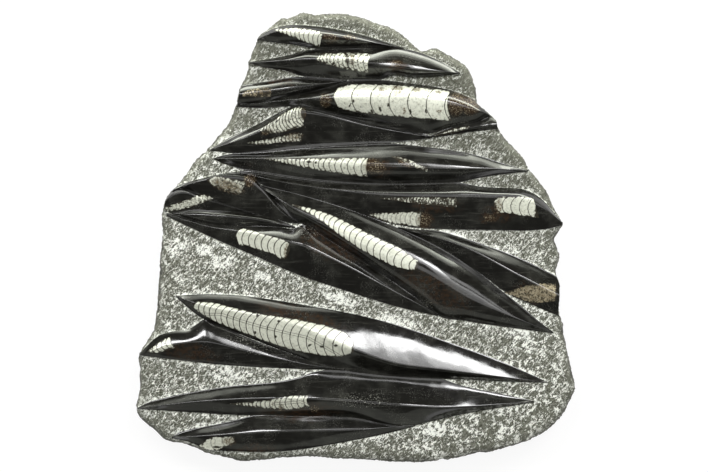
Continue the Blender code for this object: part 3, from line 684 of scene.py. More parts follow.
def swell(x, y):
    roll = np.sin(x / 31.0 + 0.8) * np.sin(y / 23.0 + 1.9) + 0.5 * np.sin((x - y) / 17.0)
    return GROUND_SWELL * roll / 1.5


def peck(x, y):
    """How far one point of the ground lies above or below the swell: chisel strokes on lumps."""
    turn = math.radians(CHISEL_ANGLE)
    along = x * math.cos(turn) + y * math.sin(turn)
    across = y * math.cos(turn) - x * math.sin(turn) + rough(x, y, 3.0, 11.0) * 2.0
    stroke = noise.noise(Vector((along / 4.2, across / 1.7, 0.0)))
    return (CHISEL_DEPTH * (stroke * 1.2 + rough(x, y, 50.0, 1.9) * 0.8)
            + LUMP_DEPTH * rough(x, y, 20.0, 8.0))


def new_object(name, points, faces):
    """A mesh object from points in millimetres."""
    mesh = bpy.data.meshes.new(name)
    mesh.from_pydata((np.asarray(points, dtype=float) * MM).tolist(), [], faces)
    return place_in_scene(name, mesh)


def band_faces(size, bands, way=1):
    """Faces between closed rings of the given size, which follow each other: way is 1 where they
    run anticlockwise seen from the last, and -1 where they run clockwise."""
    faces = []
    for low in range(0, size * bands, size):
        for k in range(size):
            here, after = (k, (k + 1) % size)[::way]
            faces.append((low + here, low + after, low + size + after, low + size + here))
    return faces


def loft(name, rings):
    """One closed body through equal rings of points, which run anticlockwise seen from the last."""
    size = len(rings[0])
    last = size * (len(rings) - 1)
    faces = [tuple(range(size))[::-1], *band_faces(size, len(rings) - 1),
             tuple(range(last, last + size))]
    return new_object(name, np.concatenate(rings), faces)


# Patches in plan, each an oval: its place, half length, half width and turn. Brown crystals have
# grown where shells have broken up, and iron has stained the stone round them.
CRYSTALS = [
    (-18, 149.5, 6, 2.6, -8), (30.5, 129.5, 4.5, 2.6, 0), (-68.5, 109, 6, 3.4, 8),
    (-22, 102.5, 4.5, 5.2, 0), (19.5, 110.5, 2.2, 3, 0), (31.5, 110.5, 4.5, 3.4, 0),
    (45.5, 110, 3, 2.6, 0), (62, 108.5, 2.6, 1.1, 0), (36.5, 94, 1.1, 3, 0), (62, 94, 2.2, 1.5, 0),
    (75.5, 99.5, 6.8, 9, -8), (86, 98, 6.8, 6.8, -15), (-66, 79, 4.5, 2, 20),
    (-39, 92.5, 2.2, 4.5, 5), (-46, 75.5, 6.8, 2.7, 4), (12, 53.5, 6, 6, 0),
    (18.5, 52, 4.5, 4.5, 0), (36.5, 56, 6.8, 2.6, -28), (51.5, 13, 6, 6, -3), (107, 23.5, 3, 6, 0),
    (-95.5, 38.5, 12.8, 4.5, -18), (101, 14.5, 4.5, 3, -10), (-79, 42.5, 4.5, 5.2, -20),
    (-30, -128, 3.8, 2.6, 0), (-2.5, 133, 1.9, 4.5, 0), (-4.5, 149.5, 6, 1.9, -5),
    (-55.5, -127, 2.1, 3, 0), (-94.5, -152.5, 5.2, 3, 0), (-51.5, -9.5, 1.8, 6, -10),
]
PITTED = [
    (-37.5, 5, 10.5, 5.2, -8), (54, -49, 5.2, 3, -25), (-41.5, -125.5, 7.5, 3, 0),
    (3.5, -122, 18.8, 6, 0), (-79, -80.5, 18.8, 6, -15), (30, 119.5, 6, 2.6, 0),
]
RUST = [
    (84.5, 101.5, 12, 7.5, -10), (30.5, 128, 9, 4.5, 0), (18.5, 52, 10.5, 6.8, 0),
    (51.5, 11.5, 7.5, 6, 0), (101, 14.5, 9.8, 4.5, 0), (60.5, 24.5, 19.5, 6, 0),
    (129.5, -41, 11.2, 7.5, -20), (108.5, 19, 12, 7.5, 0), (-19, -5, 24, 10.5, -25),
    (60, -40, 30, 9, -28), (-124, -86, 22.5, 6.8, -10), (-79, -161, 18.8, 6, 8),
    (-19, 149.5, 6, 3.8, 0), (-56.5, 116.5, 10.5, 3.8, 0), (-41.5, -129.5, 30, 7.5, 0),
    (-109, -54.5, 15, 3.8, -25), (-41.5, -59, 33.8, 6, -15),
]
POLISHED_BLACK = (0.0045, 0.0042, 0.0032)
# The grey of the stone's clouds, and of its streaks of painted sheen.
POLISHED_GREY = (0.055, 0.055, 0.047)
SCRATCH_GREY = (0.13, 0.13, 0.115)
PIT_GREY = (0.22, 0.22, 0.19)
IRON_BROWN = (0.032, 0.017, 0.008)
CRYSTAL_DARK = (0.030, 0.018, 0.009)
CRYSTAL_TAN = (0.30, 0.26, 0.18)
FLECK_CREAM = (0.42, 0.40, 0.32)
STONE_IOR = 1.62
DULL_IOR = 1.3                      # crushed stone scatters light before it can gleam


def polished_black():
    """Black limestone, polished by hand to a mirror, with faint clouds, painted sheen streaks and a
    few pale flecks.
    """
    finish = Finish("polished_black_limestone")
    place = finish.place()
    clouds = finish.ramp(finish.noise(place, 14.0, 4.0, 0.6), 0.42, 0.75)
    colour = finish.mix(clouds * 0.42, POLISHED_BLACK, POLISHED_GREY)
    # Painted sheen: long lighter grey streaks along the polish.
    painted_sheen_streaks = finish.ramp(finish.noise(place, (26.0, 1.7, 9.0), 3.0, 0.6, 0.3), 0.52, 0.74)
    colour = finish.mix(painted_sheen_streaks * 0.40, colour, POLISHED_GREY)
    worn = finish.ramp(finish.noise(place, 16.0, 2.0), 0.48, 0.62)
    for twist in (0.8, 2.6):
        curl = abs(finish.noise(place, 5.0, 1.0, 0.4, twist) - 0.5)
        colour = finish.mix(finish.ramp(curl, 0.0, 0.006, 0.4, 0.0) * worn, colour, SCRATCH_GREY)
    dust = finish.ramp(finish.noise(place, 0.8, 2.0, 0.6), 0.58, 0.70)
    colour = finish.mix(dust * worn * 0.6, colour, SCRATCH_GREY)
    rust = finish.patches(finish.wander(place, 9.0, 14.0), RUST)
    mottled = finish.ramp(finish.noise(place, 2.6, 5.0, 0.7, 0.4), 0.40, 0.66)
    colour = finish.mix(rust * mottled, colour, IRON_BROWN)
    crystals = finish.patches(finish.wander(place, 2.2, 4.5), CRYSTALS)
    grains = finish.ramp(finish.noise(place, 1.1, 3.0, 0.7), 0.53, 0.66)
    colour = finish.mix(crystals, colour, finish.mix(grains, CRYSTAL_DARK, CRYSTAL_TAN))
    pitted = finish.patches(finish.wander(place, 4.0, 9.0), PITTED)
    colour = finish.mix(pitted * finish.ramp(grains, 0.3, 1.0), colour, PIT_GREY)
    fleck = finish.ramp(finish.noise(place, 1.6, 3.0, 0.6), 0.72, 0.78)
    colour = finish.mix(fleck * 0.5, colour, FLECK_CREAM)
    finish.bump(finish.noise(place, 2.4, 2.0), 0.012)
    sheen = finish.ramp(finish.noise(place, 6.0, 3.0), 0.3, 0.7, 0.08, 0.14)
    return finish.cover(colour, sheen, STONE_IOR)


# Whiter bruises in the pecked ground, as ovals.
BRUISES = [
    (-136, -8.5, 6.8, 7.5, 0), (-100, -18.5, 12, 4.5, 20), (-70, -29, 9, 3, -20),
    (-127.5, -44.5, 6.8, 2.2, 0), (-79, 125.5, 7.5, 3.8, 0), (-112.5, -9.5, 6.8, 3.8, 0),
    (-11.5, -47, 15, 3, -15), (33.5, -62.5, 16.5, 3, -15), (123.5, -69.5, 7.5, 9, 40),
    (131, -80.5, 6, 6, 0), (78.5, -0.5, 9, 3, -20), (108.5, -13, 9, 4.5, -30), (-94, -47, 9, 3, 0),
    (-41.5, -105.5, 12, 2.2, 0), (93.5, 65.5, 9, 4.5, 0), (30, 68, 7.5, 2.2, 5),
    (-94, -103, 15, 4.5, 0), (-97.5, 73, 7.5, 4.5, 0), (-120, 65.5, 4.5, 7.5, 40),
    (-52.5, 127, 7.5, 2.2, 0), (63.5, -144.5, 15, 4.5, 0),
]
PECKED_DARK = (0.035, 0.036, 0.023)
PECKED_GREY = (0.208, 0.213, 0.172)
PECKED_WHITE = (0.85, 0.865, 0.80)
RIM_GREY = (0.14, 0.14, 0.115)
PIT_DARK = (0.02, 0.02, 0.015)
PECKED_ROUGHNESS = 0.62


def pecked_ground():
    """The ground that the point chisel left: grey bruised stone under white crushed marks."""
    finish = Finish("pecked_limestone")
    place = finish.place()
    turned = finish.node("VectorRotate", {"rotation_type": "Z_AXIS"},
                         {"Vector": place, "Angle": math.radians(-CHISEL_ANGLE)})
    stroke = finish.noise(turned, (2.7, 1.2, 3.0), 3.0, 0.66, 0.9)
    grain = finish.noise(place, 0.8, 3.0, 0.7)
    patch = finish.noise(place, 4.2, 2.0, 0.5, 0.5)
    lumps = finish.noise(place, 10.0, 3.0, 0.6, 1.0)
    edge = finish.attribute("edge")
    bruises = finish.patches(finish.wander(place, 5.0, 9.0), BRUISES)
    white = stroke * 0.60 + grain * 0.36 + patch * 0.22 + lumps * 0.16 + bruises * 0.07
    crushed = finish.noise(place, 5.5, 4.0, 0.6, 1.4) - 0.5
    white = white + finish.attribute("crushed") * crushed * 0.6
    # Painted shade: the ground darkens towards the top and the right.
    painted_shade = finish.attribute("painted_shade")
    white = finish.ramp(white + edge * 0.05 - painted_shade * 0.03, 0.67, 0.765)
    grey = finish.ramp(grain * 0.6 + stroke * 0.4, 0.38, 0.60)
    colour = finish.mix(grey, PECKED_DARK, PECKED_GREY)
    colour = finish.mix(painted_shade * 0.38, finish.mix(white, colour, PECKED_WHITE), PECKED_DARK)
    rim = finish.attribute("rim") * finish.ramp(finish.noise(place, 5.0, 4.0, 0.6), 0.36, 0.62)
    pits = finish.ramp(finish.noise(place, 1.7, 3.0, 0.6), 0.56, 0.64)
    rim_grey = finish.mix(pits, RIM_GREY, PIT_DARK)
    finish.bump(stroke * 0.6 + grain * 0.4, 0.5)
    return finish.cover(finish.mix(rim * 0.85, colour, rim_grey), PECKED_ROUGHNESS, DULL_IOR)


BROKEN_DARK = (0.035, 0.035, 0.028)
BROKEN_GREY = (0.17, 0.17, 0.145)
BROKEN_PALE = (0.44, 0.44, 0.38)
BROKEN_ROUGHNESS = 0.7


def broken_side():
    """The broken sides and the sawn back: grey stone, dusty chips, pale edges partly bruised and
    partly painted highlight.
    """
    finish = Finish("broken_limestone")
    place = finish.place()
    dust = finish.noise(place, 8.0, 5.0, 0.65)
    chips = abs(finish.noise(place, 4.5, 3.0, 0.55, 0.6) - 0.5)
    grain = finish.noise(place, 1.0, 4.0, 0.7)
    dusty = finish.ramp(dust * 0.4 + grain * 0.6, 0.40, 0.60)
    colour = finish.mix(dusty, BROKEN_DARK, BROKEN_GREY)
    # Pale lines along the chips' edges: partly bruised stone, partly painted highlight.
    bruise_and_highlight = finish.ramp(chips, 0.0, 0.035, 1.0, 0.0) * finish.ramp(grain, 0.42, 0.58)
    colour = finish.mix(bruise_and_highlight * 0.8, colour, BROKEN_PALE)
    finish.bump(chips * 2.2 + grain * 0.5, 1.2)
    return finish.cover(colour, BROKEN_ROUGHNESS, DULL_IOR)


FINISHES = (polished_black(), pecked_ground(), broken_side())
POLISHED, PECKED, BROKEN = 0, 1, 2


def set_finishes(obj, slots):
    """The slab's three finishes, which the joins carry through, one for each face."""
    for finish in FINISHES:
        obj.data.materials.append(finish)
    obj.data.polygons.foreach_set("material_index", slots)


def build_blank():
    """The slab with its back, sides and pecked ground, but no ridges yet."""
    levels, insets = np.array(SIDE_PROFILE, dtype=float).T
    travel = np.concatenate([[0.0], np.cumsum(np.hypot(np.diff(levels), np.diff(insets)))])
    rings = []
    for row in np.linspace(0.0, travel[-1], SIDE_ROWS + 1):
        curve = closed_curve(inset_outline(float(np.interp(row, travel, insets))))
        # Flakes run out where the side meets the back and the ground.
        strength = min(1.0, 0.35 + row / 8.0) * min(1.0, (travel[-1] - row) / 4.0)
        level = float(np.interp(row, travel, levels))
        rings.append([broken(x, y, level, (-dy, dx), strength)
                      for (x, y), (dx, dy) in zip(curve, headings(curve, 1))])
    size = len(rings[0])
    for step, ring in enumerate(rings[-RIM_ROWS:]):
        share = (step + 1) / RIM_ROWS
        for k, (x, y, z) in enumerate(ring):
            ring[k] = (x, y, z + share * (peck(x, y) + float(swell(x, y))))

    rim = np.array(rings[-1])
    reach = np.arange(-PECK_REACH, PECK_REACH, PECK_STEP)
    x, y = [v.ravel() for v in np.meshgrid(reach, reach)]
    shaker = np.random.default_rng(7)
    x = x + shaker.uniform(-0.3, 0.3, len(x)) * PECK_STEP
    y = y + shaker.uniform(-0.3, 0.3, len(y)) * PECK_STEP
    inner = closed_curve(inset_outline(SIDE_PROFILE[-1][1] + PECK_STEP))
    sparse = np.arange(len(x)) % HIDDEN_SHARE == 0
    keep = inside_outline(x, y, inner) & ((border_gap(x, y) > -HIDDEN_GAP) | sparse)
    x, y = x[keep], y[keep]
    gap = border_gap(x, y)
    level = GROUND + swell(x, y) + np.array([peck(*p) for p in zip(x, y)])
    highest = GROUND + BORDER_RISE - BORDER_CLEAR + np.maximum(gap, 0.0) * CLEAR_SLOPE
    level = np.minimum(level, highest)
    level = np.where(gap < -SUNK_GAP, GROUND - SUNK_DEPTH, level)
    heights = np.concatenate([rim[:, 2], level])
    spots = [Vector(p) for p in rim[:, :2]] + [Vector(p) for p in zip(x, y)]
    edges = [(k, (k + 1) % size) for k in range(size)]
    flat, _, cells, origins, _, _ = delaunay_2d_cdt(spots, edges, [], 1, 1e-6)

    points = [p for ring in rings[:-1] for p in ring]
    top = len(points)
    points += [(p.x, p.y, heights[origin[0]]) for p, origin in zip(flat, origins)]
    faces = [tuple(range(size)), *band_faces(size, SIDE_ROWS, -1)]
    faces += [tuple(top + k for k in cell) for cell in cells]
    blank = new_object("blank", points, faces)
    slots = np.full(len(faces), PECKED)
    slots[:1 + size * (SIDE_ROWS - RIM_ROWS)] = BROKEN
    set_finishes(blank, slots)
    return blank


def build_ridge(name, ridge):
    first, last = ends_of(ridge)
    count = max(6, round((last - first) / RIDGE_STATION))
    even = np.linspace(0.0, 1.0, count + 1)
    # Stations crowd towards the ends, where the borders turn in.
    along = first + (last - first) * (0.6 * even + 0.2 * (1 - np.cos(math.pi * even)))
    steps = np.array(CROSS_STEPS)
    rings = []
    for x in along:
        upper, lower = [float(border) for border in borders_at(ridge, x)]
        crest = float(smooth_curve(ridge["crest"], x))
        y = np.concatenate([crest + (upper - crest) * steps[::-1],
                            crest + (lower - crest) * steps[1:]])
        z = ridge_level(ridge, np.full(len(y), x), y)
        z = np.maximum(z, GROUND + BORDER_RISE)
        border = GROUND + BORDER_RISE - SKIRT_DROP
        ring = [(x, upper + SKIRT_SPREAD, RIDGE_ROOT), (x, upper + SKIRT_SPREAD, border)]
        ring += [(x, *p) for p in zip(y, z)]
        ring += [(x, lower - SKIRT_SPREAD, border), (x, lower - SKIRT_SPREAD, RIDGE_ROOT)]
        rings.append(ring)
    body = loft("ridge_" + name, rings)
    # The chisel has bruised the step down from a ridge's border.
    size = len(rings[0])
    place = np.arange(size * count) % size
    step = (place < 2) | (place > size - 4)
    set_finishes(body, [POLISHED, *np.where(step, PECKED, POLISHED), POLISHED])
    return body


def boolean(obj, operation, others):
    """Cuts, joins or keeps the overlap with the others, and leaves the result as obj's own mesh."""
    group = bpy.data.collections.new("operands")
    for other in others:
        group.objects.link(other)
    step = obj.modifiers.new(operation.lower(), "BOOLEAN")
    step.operation = operation
    step.solver = "MANIFOLD"
    step.operand_type = "COLLECTION"
    step.collection = group
    graph = bpy.context.evaluated_depsgraph_get()
    obj.data = bpy.data.meshes.new_from_object(obj.evaluated_get(graph))
    obj.modifiers.remove(step)
    bpy.data.collections.remove(group)


def discard(objects):
    for obj in objects:
        bpy.data.objects.remove(obj, do_unlink=True)


def build_carved():
    """The blank with the ridges on it, broken off at its rim."""
    ridges = [build_ridge(name, ridge) for name, ridge in RIDGES.items()]
    boolean(ridges[0], "UNION", ridges[1:])
    edge = closed_curve(inset_outline(RIM_BREAK))[::-1]
    trim = loft("trim", [[(x, y, level) for x, y in edge] for level in (TRIM_BOTTOM, RIDGE_TOP)])
    set_finishes(trim, np.full(len(trim.data.polygons), BROKEN))
    boolean(ridges[0], "INTERSECT", [trim])
    carved = build_blank()
    boolean(carved, "UNION", [ridges[0]])
    discard(ridges + [trim])
    return carved


NO_RIDGE = -1
NUDGE = 0.03                        # mm, for reading a surface's slope
FACE_TOLERANCE = 0.6
UPWARD = 0.05                       # a polished face points upward by at least this much
CREASE_ANGLE = 32.0
EDGE_WIDTH = 4.0                    # next to a ridge the ground is whiter over this width
RIM_WIDTH = 9.0                     # the rim is darker over this width
SHADE_LEAN = 0.3                    # painted shade: the ground is darker towards the top and the right
SHADE_REACH = (10.0, 120.0)
CRUSHED_REACH = (120.0, 220.0)      # towards the lower right its white marks run together


def read(items, what, width=1, kind=float):
    """What a mesh's points, corners or faces say, as rows of the given width."""
    values = np.empty(len(items) * width, dtype=kind)
    items.foreach_get(what, values)
    return values if width == 1 else values.reshape(-1, width)


def polished_normals(x, y, owner):
    """Normals of the polished surface at plan points, each on the ridge of the given number."""
    normals = np.zeros((len(x), 3))
    normals[:, 2] = 1.0
    for number, ridge in enumerate(RIDGES.values()):
        pick = owner == number
        px, py = x[pick], y[pick]
        here = np.maximum(ridge_level(ridge, px, py), GROUND)
        slopes = []
        for dx, dy in ((NUDGE, 0.0), (0.0, NUDGE)):
            after = ridge_level(ridge, px + dx, py + dy)
            before = ridge_level(ridge, px - dx, py - dy)
            after = np.where(after > 0, after, here)
            before = np.where(before > 0, before, here)
            slopes.append(-(after - before) / (2 * NUDGE))
        normals[pick, 0], normals[pick, 1] = slopes
    return normals / np.linalg.norm(normals, axis=1)[:, None]


def face_owners(mesh):
    """For each face the number of the ridge whose polished surface it lies on."""
    x, y, z = read(mesh.polygons, "center", 3).T / MM
    levels = np.array([ridge_level(ridge, x, y) for ridge in RIDGES.values()])
    owner = np.argmax(levels, axis=0)
    # A facet's middle lies a little under the curve that its corners lie on.
    off = np.abs(levels[owner, np.arange(len(x))] - z)
    upward = read(mesh.polygons, "normal", 3)[:, 2]
    owner[(off > FACE_TOLERANCE) | (upward < UPWARD)] = NO_RIDGE
    return owner


def smooth_polish(obj, owner):
    """Shades the polished faces by the ridges' own curves, and the rest by its creases."""
    mesh = obj.data
    mesh.shade_smooth()
    mesh.set_sharp_from_angle(angle=math.radians(CREASE_ANGLE))
    normals = read(mesh.corner_normals, "vector", 3)
    places = read(mesh.vertices, "co", 3) / MM
    corner_owner = np.repeat(owner, read(mesh.polygons, "loop_total", kind=int))
    polished = corner_owner != NO_RIDGE
    spot = places[read(mesh.loops, "vertex_index", kind=int)[polished]]
    normals[polished] = polished_normals(spot[:, 0], spot[:, 1], corner_owner[polished])
    mesh.normals_split_custom_set(normals.tolist())


def add_attribute(mesh, name, values):
    layer = mesh.attributes.new(name, "FLOAT", "POINT")
    layer.data.foreach_set("value", np.asarray(values, dtype=np.float32))


def dress_stone(stone):
    """Gives the finished stone its normals and what its finishes read."""
    mesh = stone.data
    slots = read(mesh.polygons, "material_index", kind=int)
    smooth_polish(stone, np.where(slots == POLISHED, face_owners(mesh), NO_RIDGE))
    x, y, _ = read(mesh.vertices, "co", 3).T / MM
    add_attribute(mesh, "edge", np.clip(1.0 - border_gap(x, y) / EDGE_WIDTH, 0.0, 1.0))
    # Painted shade, growing towards the top and the right.
    add_attribute(mesh, "painted_shade", ease(y + x * SHADE_LEAN, *SHADE_REACH))
    add_attribute(mesh, "crushed", ease(x - y, *CRUSHED_REACH))
    add_attribute(mesh, "rim", np.clip(1.0 - outline_gap(x, y) / RIM_WIDTH, 0.0, 1.0))


add_valleys()
carved = build_carved()

# ---------------------------------------------------------------------------------------------
# The shells. Straight tapering cones of chambered sea animals, filled with white calcite, which
# the polish has cut lengthwise. They lie in the stone as they were buried, flush with its face.

# Each shell in plan: the ridge it lies in and its two edges, from its narrow end to its mouth.
SHELLS = {
    "crown": {
        "ridge": "crown",
        "upper": [(-63, 156), (-35.5, 156), (-23.5, 153)],
        "lower": [(-63, 155.5), (-49, 150.5), (-27, 142.5)]},
    "second": {
        "ridge": "second",
        "upper": [(-29, 134), (-25.5, 137), (-15, 138), (5, 138), (12.5, 137)],
        "lower": [(-29, 132), (-15, 127.5), (10.5, 123)]},
    "third_west": {
        "ridge": "third_west",
        "upper": [(-84, 108.5), (-73, 112), (-67.5, 112), (-63, 109.5)],
        "lower": [(-84, 105.5), (-67.5, 105), (-63, 105.5)]},
    "third": {
        "ridge": "third",
        "upper": [(-16.5, 105.5), (-14.5, 110.5), (-10, 113), (-2.5, 114.5), (15, 114.5),
                  (52.5, 112), (71, 109.5)],
        "lower": [(-16.5, 104.5), (-14.5, 99.5), (-10, 96), (-2.5, 94.5), (15, 92), (33.5, 90),
                  (72.5, 87)]},
    "third_tail": {
        "ridge": "third_tail",
        "upper": [(59, 76.5), (67.5, 80), (85.5, 83.5)],
        "lower": [(59, 76), (67.5, 77), (85.5, 81.5)]},
    "fourth": {
        "ridge": "fourth",
        "upper": [(-71.5, 80), (-49, 95), (-43, 97.5), (-37, 97)],
        "lower": [(-71.5, 79), (-65.5, 78), (-58, 78), (-39, 83)]},
    "fourth_low": {
        "ridge": "fourth",
        "upper": [(-81, 71), (-56.5, 75.5), (-47.5, 77.5), (-40, 78)],
        "lower": [(-81, 70.5), (-74.5, 69.5), (-56.5, 71), (-40, 72)]},
    "fifth": {
        "ridge": "fifth",
        "upper": [(-67, 59), (9.5, 59.5)],
        "lower": [(-67, 58.5), (-34, 51.5), (9.5, 45)]},
    "fifth_curved": {
        "ridge": "fifth",
        "upper": [(27, 61), (35, 59.5), (45, 56), (54, 52)],
        "lower": [(27, 60), (37.5, 56), (45, 52), (53.5, 49)]},
    "sixth_slender": {
        "ridge": "sixth",
        "upper": [(18.5, 29.5), (41, 30), (75.5, 29.5)],
        "lower": [(18.5, 29), (41, 26), (52.5, 24.5), (75.5, 22.5)]},
    "sixth_low": {
        "ridge": "sixth",
        "upper": [(11, 18), (50, 19.5)],
        "lower": [(11, 16), (22.5, 12), (48, 8)]},
    "sixth_east": {
        "ridge": "sixth",
        "upper": [(103.5, 27.5), (106.5, 30), (112.5, 30.5), (123.5, 30.5), (132.5, 30)],
        "lower": [(103.5, 26), (106.5, 20), (112.5, 18.5), (137.5, 14.5)]},
    "west_upper": {
        "ridge": "west_upper",
        "upper": [(-110.5, 43.5), (-104.5, 45.5), (-97.5, 45), (-81, 41)],
        "lower": [(-110.5, 42), (-106, 39), (-86.5, 32)]},
    "west_small": {
        "ridge": "west_small",
        "upper": [(-143, 22.5), (-124, 29), (-116.5, 32), (-110.5, 31.5), (-106.5, 29.5)],
        "lower": [(-143, 19), (-124, 22.5), (-106.5, 29)]},
    "west_long": {
        "ridge": "west_long",
        "upper": [(-89.5, 2.5), (-87, 6), (-82, 6.5), (-73, 4), (-62.5, 1), (-52.5, -2),
                  (-49.5, -4)],
        "lower": [(-89.5, 1), (-88, -3.5), (-82, -6), (-73, -9), (-62.5, -12), (-52.5, -15),
                  (-50.5, -12.5)]},
    "diagonal": {
        "ridge": "diagonal",
        "upper": [(-47.5, 25), (-26.5, 20), (18.5, -1), (33.5, -8), (46.5, -17)],
        "lower": [(-47.5, 24.5), (-26.5, 13), (-11.5, 1.5), (3.5, -8.5), (18.5, -16.5),
                  (33.5, -23), (44, -24.5)]},
    "east": {
        "ridge": "east",
        "upper": [(111.5, -41), (135, -34.5), (150, -34.5)],
        "lower": [(111.5, -41.5), (135, -49), (150, -47.5)]},
    "great": {
        "ridge": "great",
        "upper": [(-121.5, -51.5), (-119.5, -49), (-114, -48), (-105, -49), (-82.5, -54.5),
                  (-26.5, -64.5), (-14.5, -68), (-6, -72), (-1.5, -77)],
        "lower": [(-121.5, -52.5), (-112.5, -59), (-101.5, -64.5), (-90, -69), (-45, -84.5),
                  (-22.5, -88.5), (-11.5, -89), (-1.5, -86)]},
    "west_lower": {
        "ridge": "west_lower",
        "upper": [(-155.5, -85), (-144, -76.5), (-138, -74)],
        "lower": [(-155.5, -86), (-149.5, -86.5), (-142.5, -85), (-134.5, -82.5)]},
    "south": {
        "ridge": "south",
        "upper": [(-94, -124), (-67.5, -121.5), (-47.5, -118), (-34.5, -117.5)],
        "lower": [(-94, -124.5), (-58, -128.5), (-47.5, -128.5), (-34, -126)]},
    "south_front": {
        "ridge": "south_front",
        "upper": [(-117, -155.5), (-106.5, -149), (-100, -149), (-90, -148.5)],
        "lower": [(-117, -156.5), (-106.5, -160), (-100, -158), (-90, -152.5)]},
}

BROWN_SHELLS = ("third_west", "east")
# How each shell's chambers look: their length at the narrow end and at the mouth, how strongly the
# walls between them show, how ragged they are, how brown, and how far the mouth bows out as a
# share of its width.
LOOKS = {
    "crown": (2.8, 3.8, 0.8, 0.15, 0.0, 0.0), "second": (2.2, 4.8, 0.9, 0.7, 0.05, -0.15),
    "third_west": (3.0, 3.0, 0.0, 1.1, 0.25, 0.0), "third": (13.9, 13.9, 1.0, 0.3, 0.0, -0.15),
    "third_tail": (1.5, 1.5, 0.5, 0.5, 0.3, 0.0), "fourth": (2.6, 2.6, 1.0, 0.7, 0.15, 0.0),
    "fourth_low": (2.6, 2.6, 0.9, 0.4, 0.15, 0.0), "fifth": (2.0, 5.6, 0.9, 0.35, 0.0, -0.1),
    "fifth_curved": (2.5, 3.5, 0.4, 0.8, 0.25, 0.0),
    "sixth_slender": (2.4, 2.4, 1.0, 1.1, 0.1, 0.0),
    "sixth_low": (2.2, 4.5, 0.55, 0.3, 0.1, 0.0), "sixth_east": (6.4, 6.4, 0.9, 0.3, 0.0, 0.0),
    "west_upper": (3.0, 3.0, 0.2, 0.9, 0.07, 0.0), "west_small": (3.0, 3.0, 0.5, 0.7, 0.02, 0.0),
    "west_long": (5.0, 5.0, 1.0, 0.05, 0.0, 0.15), "diagonal": (3.4, 6.4, 1.0, 0.05, 0.0, 0.2),
    "east": (4.0, 4.0, 0.0, 0.8, 0.3, 0.0), "great": (4.1, 7.4, 1.0, 0.15, 0.0, 0.08),
    "west_lower": (3.8, 3.8, 1.0, 0.4, 0.0, -0.1), "south": (2.0, 5.2, 0.9, 0.35, 0.1, -0.25),
    "south_front": (9.0, 9.0, 0.5, 0.3, 0.0, 0.0),
}
# Where a siphon tube shows: its offset from the middle and its ends, as shares.
TUBES = {"great": (0.0, 0.18, 0.72), "west_lower": (0.1, 0.1, 0.8), "south": (0.0, 0.55, 0.9)}
SHELL_STATION = 2.0
SHELL_SINK = 1.0                    # a shell's axis lies this far below the face at its edges
SHELL_ARC_STEPS = 10                # sides of a shell's round underside
SEAM = 0.05                         # gap between a shell and the stone
BOW_START = 0.6                     # from this share of its length on a shell's mouth bows out
SEPTUM_BOW = 0.24                   # how far a wall between chambers bows, as a share of the width
SEPTUM_CURVE = 2.2
TUBE_RADIUS = 0.8
TUBE_FADE = 40.0
NO_TUBE = 9.0                       # mm, further from the tube than any mark of it reaches


def edge_points(points, t):
    """Plan points on a smooth curve at the fractions t of its breadth."""
    x = points[0][0] + (points[-1][0] - points[0][0]) * t
    return np.column_stack([x, smooth_curve(points, x)])


def build_shell_body(name, gap=0.0):
    """A cone with a round underside and straight sides up through the face, gap wider all round.
    Its wide end bows out."""
    shell = SHELLS[name]
    ridge = RIDGES[shell["ridge"]]
    mouth = LOOKS[name][-1]
    count = max(8, round((shell["upper"][-1][0] - shell["upper"][0][0]) / SHELL_STATION))
    even = np.linspace(0.0, 1.0, count + 1)
    t = 0.7 * even + 0.15 * (1 - np.cos(math.pi * even))
    upper = edge_points(shell["upper"], t)
    lower = edge_points(shell["lower"], t)
    along = (upper[-1] + lower[-1]) - (upper[0] + lower[0])
    along /= np.hypot(*along)
    upper[0] -= along * gap
    lower[0] -= along * gap
    upper[-1] += along * gap
    lower[-1] += along * gap
    turns = np.linspace(0.0, math.pi, SHELL_ARC_STEPS + 1)
    spread, sag = -np.cos(turns), np.sin(turns)
    rings = []
    for step, (high, low) in enumerate(zip(upper, lower)):
        middle = (high + low) / 2
        across = high - low
        radius = np.hypot(*across) / 2 + gap
        across /= np.hypot(*across)
        ends = np.array([high, low])
        border = GROUND + BORDER_RISE
        edge_level = max(border, float(np.min(ridge_level(ridge, ends[:, 0], ends[:, 1]))))
        bow = mouth * 2 * radius * max(0.0, (t[step] - BOW_START) / (1 - BOW_START)) ** 3
        plan = middle + np.outer(spread * radius, across) + np.outer(bow * sag ** 2, along)
        under = edge_level - SHELL_SINK - radius * sag
        rings.append([(*p, z) for p, z in zip(plan, under)]
                     + [(*p, RIDGE_TOP) for p in plan[::-1]])
    size = len(rings[0])
    faces = band_faces(size, count)
    last = size * count
    for k in range(size // 2 - 1):
        strip = (k, k + 1, size - 2 - k, size - 1 - k)
        faces.append(strip[::-1])
        faces.append(tuple(last + corner for corner in strip))
    return new_object("cone_" + name, np.concatenate(rings), faces)


